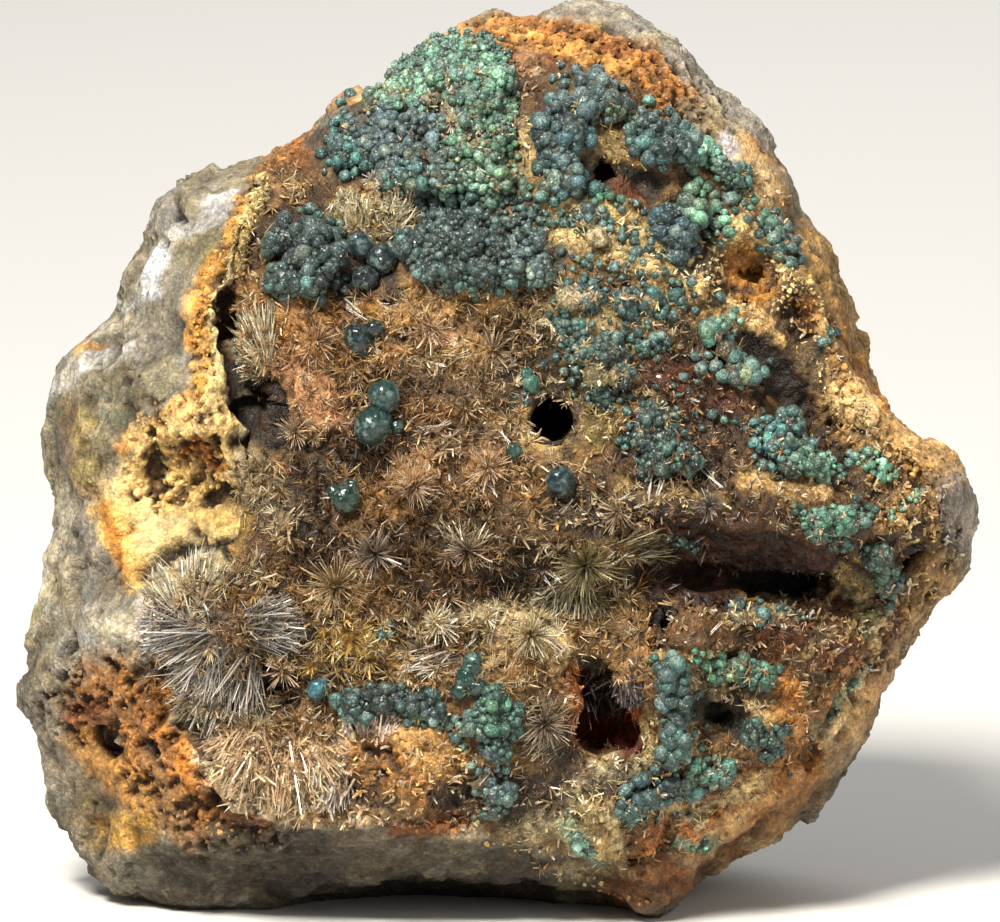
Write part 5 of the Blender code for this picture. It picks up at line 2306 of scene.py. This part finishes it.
class Balls(Grower):
    """Blue-green balls crowded over their clusters, and balls that stand alone."""

    CORE_SUNK = 0.25 * MM
    CORE_PATCH = 2.2 * MM
    TRIES = 8
    RADII = (0.6, 0.9, 1.25)
    LARGE = 0.55 * MM
    SPOTS = 3
    LUMP = 0.16
    LUMP_SIZE = 0.5 * MM
    UNEVEN, UNEVEN_ALONE = 0.45, 0.15
    # Pale caps on the ball tops that face the key light: painted highlight.
    RIME = 0.35
    RIME_TONE = hue("b4c3ba")
    CLOUD_SIZE = 1.5 * MM
    MINT, SLATE, NIGHT, OLIVE = hue("b2cdb2"), hue("6f7d8e"), hue("142226"), hue("8f8a5e")

    def __init__(self, ground: Ground, front: Front, finish: bpy.types.Material, seed: int) -> None:
        """Keeps how the balls look and models one of each fineness.

        Args:
            ground: what the balls stand on.
            front: the stains round the clusters.
            finish: material of the crowded balls.
            seed: start of the random numbers.
        """
        super().__init__(ground, front, seed)
        self.finish = finish
        self.smooth = BallFinish(
            "smooth_ball", druse=0.45 * MM, roughness=0.25, uneven=0.25, frosted=0.12, patch=0.35
        ).make()
        self.field = Front(BALL_STAINS, ragged=10.0)
        self.small, self.middle, self.large = ball_pattern(1), ball_pattern(2), ball_pattern(7)
        self.spots: list[Points] = []

    def core(self, node: str, cover: float) -> Thing:
        """The body of a cluster, under its balls, in the colours of what it carries, painted darker as shade under
        the balls.

        Args:
            node: name of the CAD node.
            cover: share of the cluster that its balls cover.

        Returns:
            The core.
        """
        core = merged_copy(node, f"{node}_core")
        points, normals = rows_of(core.data.vertices, "co"), rows_of(core.data.vertices, "normal")
        bare, _ = self.front.lay(points, np.tile(BED_BASE[0], (len(points), 1)), np.ones(len(points)))
        covered = np.full(len(points), ramp(0.5, 0.9, cover))
        # Painted shade: the core is darker than what it carries, most where balls cover it.
        colours = mix(bare * 0.8, self._colours(points) * 0.35, covered)
        return dressed(core, points - normals * self.CORE_SUNK, colours, self.finish)

    def _over_core(self, core: Thing, gap: float, cover: float) -> tuple[Points, Points]:
        """Points strewn over the open sides of a cluster's core.

        Args:
            core: the core.
            gap: least distance between points.
            cover: share of the core that is covered, in patches.

        Returns:
            Rows of points, and their normals.
        """
        core.data.calc_loop_triangles()
        corners = np.zeros(len(core.data.loop_triangles) * 3, np.int32)
        core.data.loop_triangles.foreach_get("vertices", corners)
        rows = rows_of(core.data.vertices, "co")[corners.reshape(-1, 3)]
        across = np.cross(rows[:, 1] - rows[:, 0], rows[:, 2] - rows[:, 0])
        area = np.linalg.norm(across, axis=1)
        picked = self.draw.choice(len(area), int(area.sum() / 2 / gap**2 * self.TRIES), p=area / area.sum())
        u, v = np.sort(self.draw.random((2, len(picked), 1)), axis=0)
        points = rows[picked, 0] * u + rows[picked, 1] * (v - u) + rows[picked, 2] * (1 - v)
        open_here = GRAIN.smooth(points, self.CORE_PATCH) < 3.2 * (cover - 0.5)
        sheet = DRAWING.to_sheet(points)
        for bare in BARE:
            open_here &= bare.away(sheet) > 1
        normals = unit(across[picked])[open_here]
        points = points[open_here]
        kept: dict[tuple[int, ...], int] = {}
        for index, at in enumerate(points):
            home = tuple(int(v) for v in at // gap)
            round_it = ((home[0] + i - 1, home[1] + j - 1, home[2] + k - 1) for i, j, k in np.ndindex(3, 3, 3))
            near = [points[kept[cell]] for cell in round_it if cell in kept]
            if all(math.dist(at, other) >= gap for other in near) and not self.ground.covers(at):
                kept[home] = index
        chosen = list(kept.values())
        return points[chosen].reshape(-1, 3), normals[chosen].reshape(-1, 3)

    def group(self, shape: BallGroup, cores: list[Thing]) -> Thing:
        """Builds the balls of one group over its core and its mounds, joined with the core.

        Args:
            shape: the group.
            cores: the core of its node, or nothing.

        Returns:
            The finished object.
        """
        size = float(np.mean([mound.size for mound in shape.mounds])) * DRAWING.unit
        places, sizes, lifts = [], [], []
        for core in cores:
            points, normals = self._over_core(core, size * 1.05, shape.cover)
            radius = size * self.draw.choice(self.RADII, len(points))
            radius = radius * self.draw.uniform(0.85, 1.15, len(points))
            lift = self.draw.uniform(-0.5, 0.5, len(points))
            places.append(points + normals * (radius * lift)[:, None])
            sizes.append(radius)
            lifts.append(lift)
        for mound in shape.mounds:
            found = mound.strewn(self.draw, mound.size * mound.tight * 1.5)
            away = mound.away(found)
            inside = away < self.draw.uniform(0.6, 1.0, len(found))
            for bare in BARE:
                inside &= bare.away(found) > 1
            kept, points, normals = self.ground.seats(found[inside])
            faces = normals @ VIEWER > 0.05
            kept, points, normals = kept[faces], points[faces], normals[faces]
            radius = mound.size * DRAWING.unit * self.draw.uniform(0.55, 1.3, len(points))
            lift = self.draw.uniform(-0.1, 0.6, len(points))
            rise = mound.rise * DRAWING.unit * (1 - away[inside][kept] ** 2) * 0.3 + radius * lift
            places.append(points + normals * rise[:, None])
            sizes.append(radius)
            lifts.append(lift)
        places, sizes, lifts = (np.concatenate(rows) for rows in (places, sizes, lifts))
        large = sizes > self.LARGE
        parts = [
            self._join(shape.name, places[chosen], sizes[chosen], pattern, lifts[chosen])
            for chosen, pattern in ((large, self.middle), (~large, self.small))
            if chosen.any()
        ]
        made = parts[0]
        alone(made)
        for other in parts[1:] + cores:
            other.select_set(True)
        bpy.ops.object.join()
        # Glint spots sit on the side of each ball that faces the key light: painted glints.
        for _ in range(self.SPOTS):
            spots = unit(self.draw.normal(size=places.shape) * 0.8 + TOWARDS_LIGHT)
            self.spots.append(np.stack([places + spots * (sizes * 0.97)[:, None], spots], axis=1)[lifts > 0.0])
        return made

    def _colours(self, points: Points) -> Points:
        """Colours of balls by their place on the front.

        Args:
            points: rows of world coordinates.

        Returns:
            Rows of colours.
        """
        base = np.tile(BALL_BASE, (len(points), 1))
        colours, _ = self.field.lay(points, base, np.ones(len(points)))
        mint, slate, olive = (GRAIN.layered(points + step * MM, self.CLOUD_SIZE, 3, 0.75) for step in (23, 41, 67))
        light = colours.sum(1)
        washed = 0.15 + 0.85 * ramp(0.02, 0.35, light)
        colours = mix(colours, self.MINT, ramp(0.15, 0.8, mint) * ramp(0.2, 0.9, light) * 0.7)
        colours = mix(colours, self.SLATE, ramp(0.2, 0.8, slate) * 0.45 * washed)
        colours = mix(colours, self.NIGHT, ramp(0.1, 0.8, -mint) * 0.55)
        colours = mix(colours, self.OLIVE, ramp(0.3, 0.9, olive) * 0.5 * washed)
        middle = colours.mean(1, keepdims=True)
        return np.clip(middle + (colours - middle) * 1.12, 0, 1) * BALL_TONE

    def _join(
        self, name: str, places: Points, sizes: Points, pattern: Pattern, lifts: Points, colour: str = ""
    ) -> Thing:
        """Joins balls into one object and colours them.

        Args:
            name: the new object's name.
            places: middle of each ball.
            sizes: radius of each ball.
            pattern: the ball that is copied.
            lifts: how far each ball stands out, from about -0.5 to 0.6; low ones are painted darker as shade between
                the balls.
            colour: colour of all the balls, or nothing for the front's own.

        Returns:
            The new object.
        """
        count = len(places)
        squeeze = sizes[:, None] * self.draw.uniform(0.82, 1.15, (count, 3))
        made = pattern.copies(name, random_turns(self.draw, squeeze), places, smooth=True)
        points, normals = rows_of(made.data.vertices, "co"), rows_of(made.data.vertices, "normal")
        spread = np.repeat(sizes, len(pattern.points))
        lumps = GRAIN.layered(points, self.LUMP_SIZE, 3, 0.6)
        set_vertices(made, points + normals * (lumps * spread * self.LUMP)[:, None])
        body = np.tile(hue(colour), (count, 1)) if colour else self._colours(places)
        uneven = np.exp(self.draw.normal(-0.05, self.UNEVEN_ALONE if colour else self.UNEVEN, count))
        # Low balls are painted darker: painted shade between the balls.
        body = body * (uneven * (0.45 + 0.8 * ramp(-0.5, 0.5, lifts)))[:, None]
        outward = ramp(-0.3, 1.0, normals @ VIEWER)
        shade = (0.35 + 0.7 * outward + 0.3 * lumps)[:, None]
        # Ball tops that face the key light are painted paler: painted highlight.
        lit_top = np.repeat(self.draw.random(count) ** 2, len(pattern.points)) * ramp(0.3, 0.95, normals @ TOWARDS_LIGHT)
        top_highlight = 0.0 if colour else np.repeat(ramp(0.02, 0.3, body.sum(1)) * self.RIME, len(pattern.points))
        tint = np.repeat(body, len(pattern.points), axis=0) * shade
        set_tint(made, mix(tint, self.RIME_TONE, lit_top * top_highlight))
        made.data.materials.append(self.smooth if colour else self.finish)
        return made

    def single(self, shape: SingleBall) -> Thing:
        """Builds a ball that stands alone, or a few grown together.

        Args:
            shape: name, colour and balls.

        Returns:
            The finished object.
        """
        rows = np.array(shape.balls)
        _, points, normals = self.ground.seats(rows[:, :2], 8)
        sizes = rows[:, 2] * DRAWING.unit
        places = points + normals * (sizes * 0.5)[:, None]
        return self._join(shape.name, places, sizes, self.large, np.full(len(sizes), 0.3), shape.colour)


@dataclass
class Studio:
    """Pale floor, soft light and the camera."""

    distance: float = 2.4
    view_width: float = 0.1
    sensor: float = 36.0
    far: float = 20.0
    aim: tuple[float, float, float] = (0.0, 0.0, 0.045)
    ambient: float = 0.2
    backdrop: tuple[float, float, float, float] = (0.88, 0.86, 0.83, 1.0)
    ground: tuple[float, float, float, float] = (0.72, 0.71, 0.69, 1.0)

    def floor(self) -> None:
        """Lays a plain pale floor."""
        floor = fresh("plane", size=6)
        floor.name = "studio_floor"
        floor.data.materials.append(Kit("pale_floor").finish(Base_Color=self.ground, Roughness=0.9))

    def light(self, name: str, place: tuple[float, float, float], size: float, power: float, colour: Colour) -> None:
        """A square soft light aimed at the specimen.

        Args:
            name: the light's name.
            place: where it hangs.
            size: length of its side in metres.
            power: strength in watts.
            colour: red, green and blue.
        """
        data = bpy.data.lights.new(name, "AREA")
        data.size = size
        data.energy = power
        data.color = colour
        lamp = bpy.data.objects.new(name, data)
        bpy.context.scene.collection.objects.link(lamp)
        lamp.location = place
        lamp.rotation_euler = (Vector(self.aim) - Vector(place)).to_track_quat("-Z", "Y").to_euler()

    def build(self) -> None:
        """Sets up floor, lights, world and camera."""
        self.floor()
        self.light("key", (-0.22, -0.42, 0.66), 0.2, 11.8, (1.0, 0.95, 0.86))
        self.light("fill", (0.6, -0.6, 0.35), 0.6, 1.8, (1.0, 0.97, 0.92))
        self.light("back", (0.1, 0.6, 0.6), 0.6, 3.0, (1.0, 1.0, 1.0))
        world = bpy.data.worlds.new("studio")
        world.use_nodes = True
        backdrop = world.node_tree.nodes["Background"]
        backdrop.inputs["Color"].default_value = self.backdrop
        backdrop.inputs["Strength"].default_value = self.ambient
        scene = bpy.context.scene
        scene.world = world
        scene.view_settings.view_transform = "Standard"
        data = bpy.data.cameras.new("front_camera")
        data.sensor_width = self.sensor
        data.lens = self.sensor * self.distance / self.view_width
        data.clip_end = self.far
        camera = bpy.data.objects.new("front_camera", data)
        scene.collection.objects.link(camera)
        camera.matrix_world = DRAWING.matrix() @ Matrix.Translation((0, 0, self.distance))
        scene.camera = camera


def settle(piece: Thing, slot: Slot, *nodes: str) -> None:
    """Lets a piece ride on the root body, hides the CAD nodes it replaces and logs its triangles.

    Args:
        piece: the finished object.
        slot: its slot; not used.
        nodes: CAD nodes it replaces.
    """
    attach(piece, "root")
    if nodes:
        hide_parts(*nodes)
    triangles = sum(len(face.vertices) - 2 for face in piece.data.polygons)
    LOG.info("%s: %d triangles", piece.name, triangles)


def main() -> None:
    """Builds the specimen and its studio."""
    logging.basicConfig(level=logging.INFO, format="%(name)s %(message)s")
    front = Front(FRONT_STAINS)
    stone = StoneFinish().make()
    druse = StoneFinish(
        "crystal_bed_stone", coarse=1.0 * MM, grain=0.26 * MM, lump=0.7 * MM, fine=0.13 * MM, contrast=0.36,
        roughness=0.55, glint=0.5,
    ).make()
    needle = NeedleFinish().make()
    rock = HostRock().build(front, stone)
    settle(rock, Slot.ROCK, "host_rock")
    bed = CrystalBed().build(front, druse)
    settle(bed, Slot.CRYSTALS, "hemimorphite_crust")
    balls = Balls(Ground([rock, bed]), front, BallFinish().make(), BALL_SEED)
    cores = {node: balls.core(node, shape.cover) for shape in BALL_GROUPS for node in shape.nodes}
    open_cores = [cores[node] for shape in BALL_GROUPS if shape.cover < OPEN_BELOW for node in shape.nodes]
    ground = Ground([rock, bed, *open_cores])
    spike, blade = spike_pattern(), blade_pattern()
    needles = Needles(ground, front, NEEDLE_SEED)
    for name, carpets, pattern in (
        ("needles_left", CARPETS_LEFT, spike),
        ("needles_right", CARPETS_RIGHT, spike),
        ("crystal_crust_left", CRUST_LEFT, blade),
        ("crystal_crust_right", CRUST_RIGHT, blade),
    ):
        for shape in carpets:
            needles.carpet(shape)
        settle(needles.build(name, pattern, needle), Slot.CRYSTALS)
    for shape in ROSETTES:
        needles.rosette(shape)
    for shape in FANS:
        needles.fan(shape)
    needles.white_needles(WHITE_NEEDLES)
    settle(needles.build("large_sprays", blade, needle), Slot.CRYSTALS)
    settle(Grains(ground, front, GRAIN_SEED).build("ochre_grains", GRITS, stone), Slot.ROCK)
    for shape in BALL_GROUPS:
        settle(balls.group(shape, [cores[node] for node in shape.nodes]), shape.slot, *shape.nodes)
    for single in SINGLE_BALLS:
        settle(balls.single(single), single.slot, single.node)
    needles.glints(balls.spots, GLINT_SHARE)
    settle(needles.build("ball_glints", blade, needle), Slot.CRYSTALS)
    Studio().build()


if __name__ == "__main__":
    main()
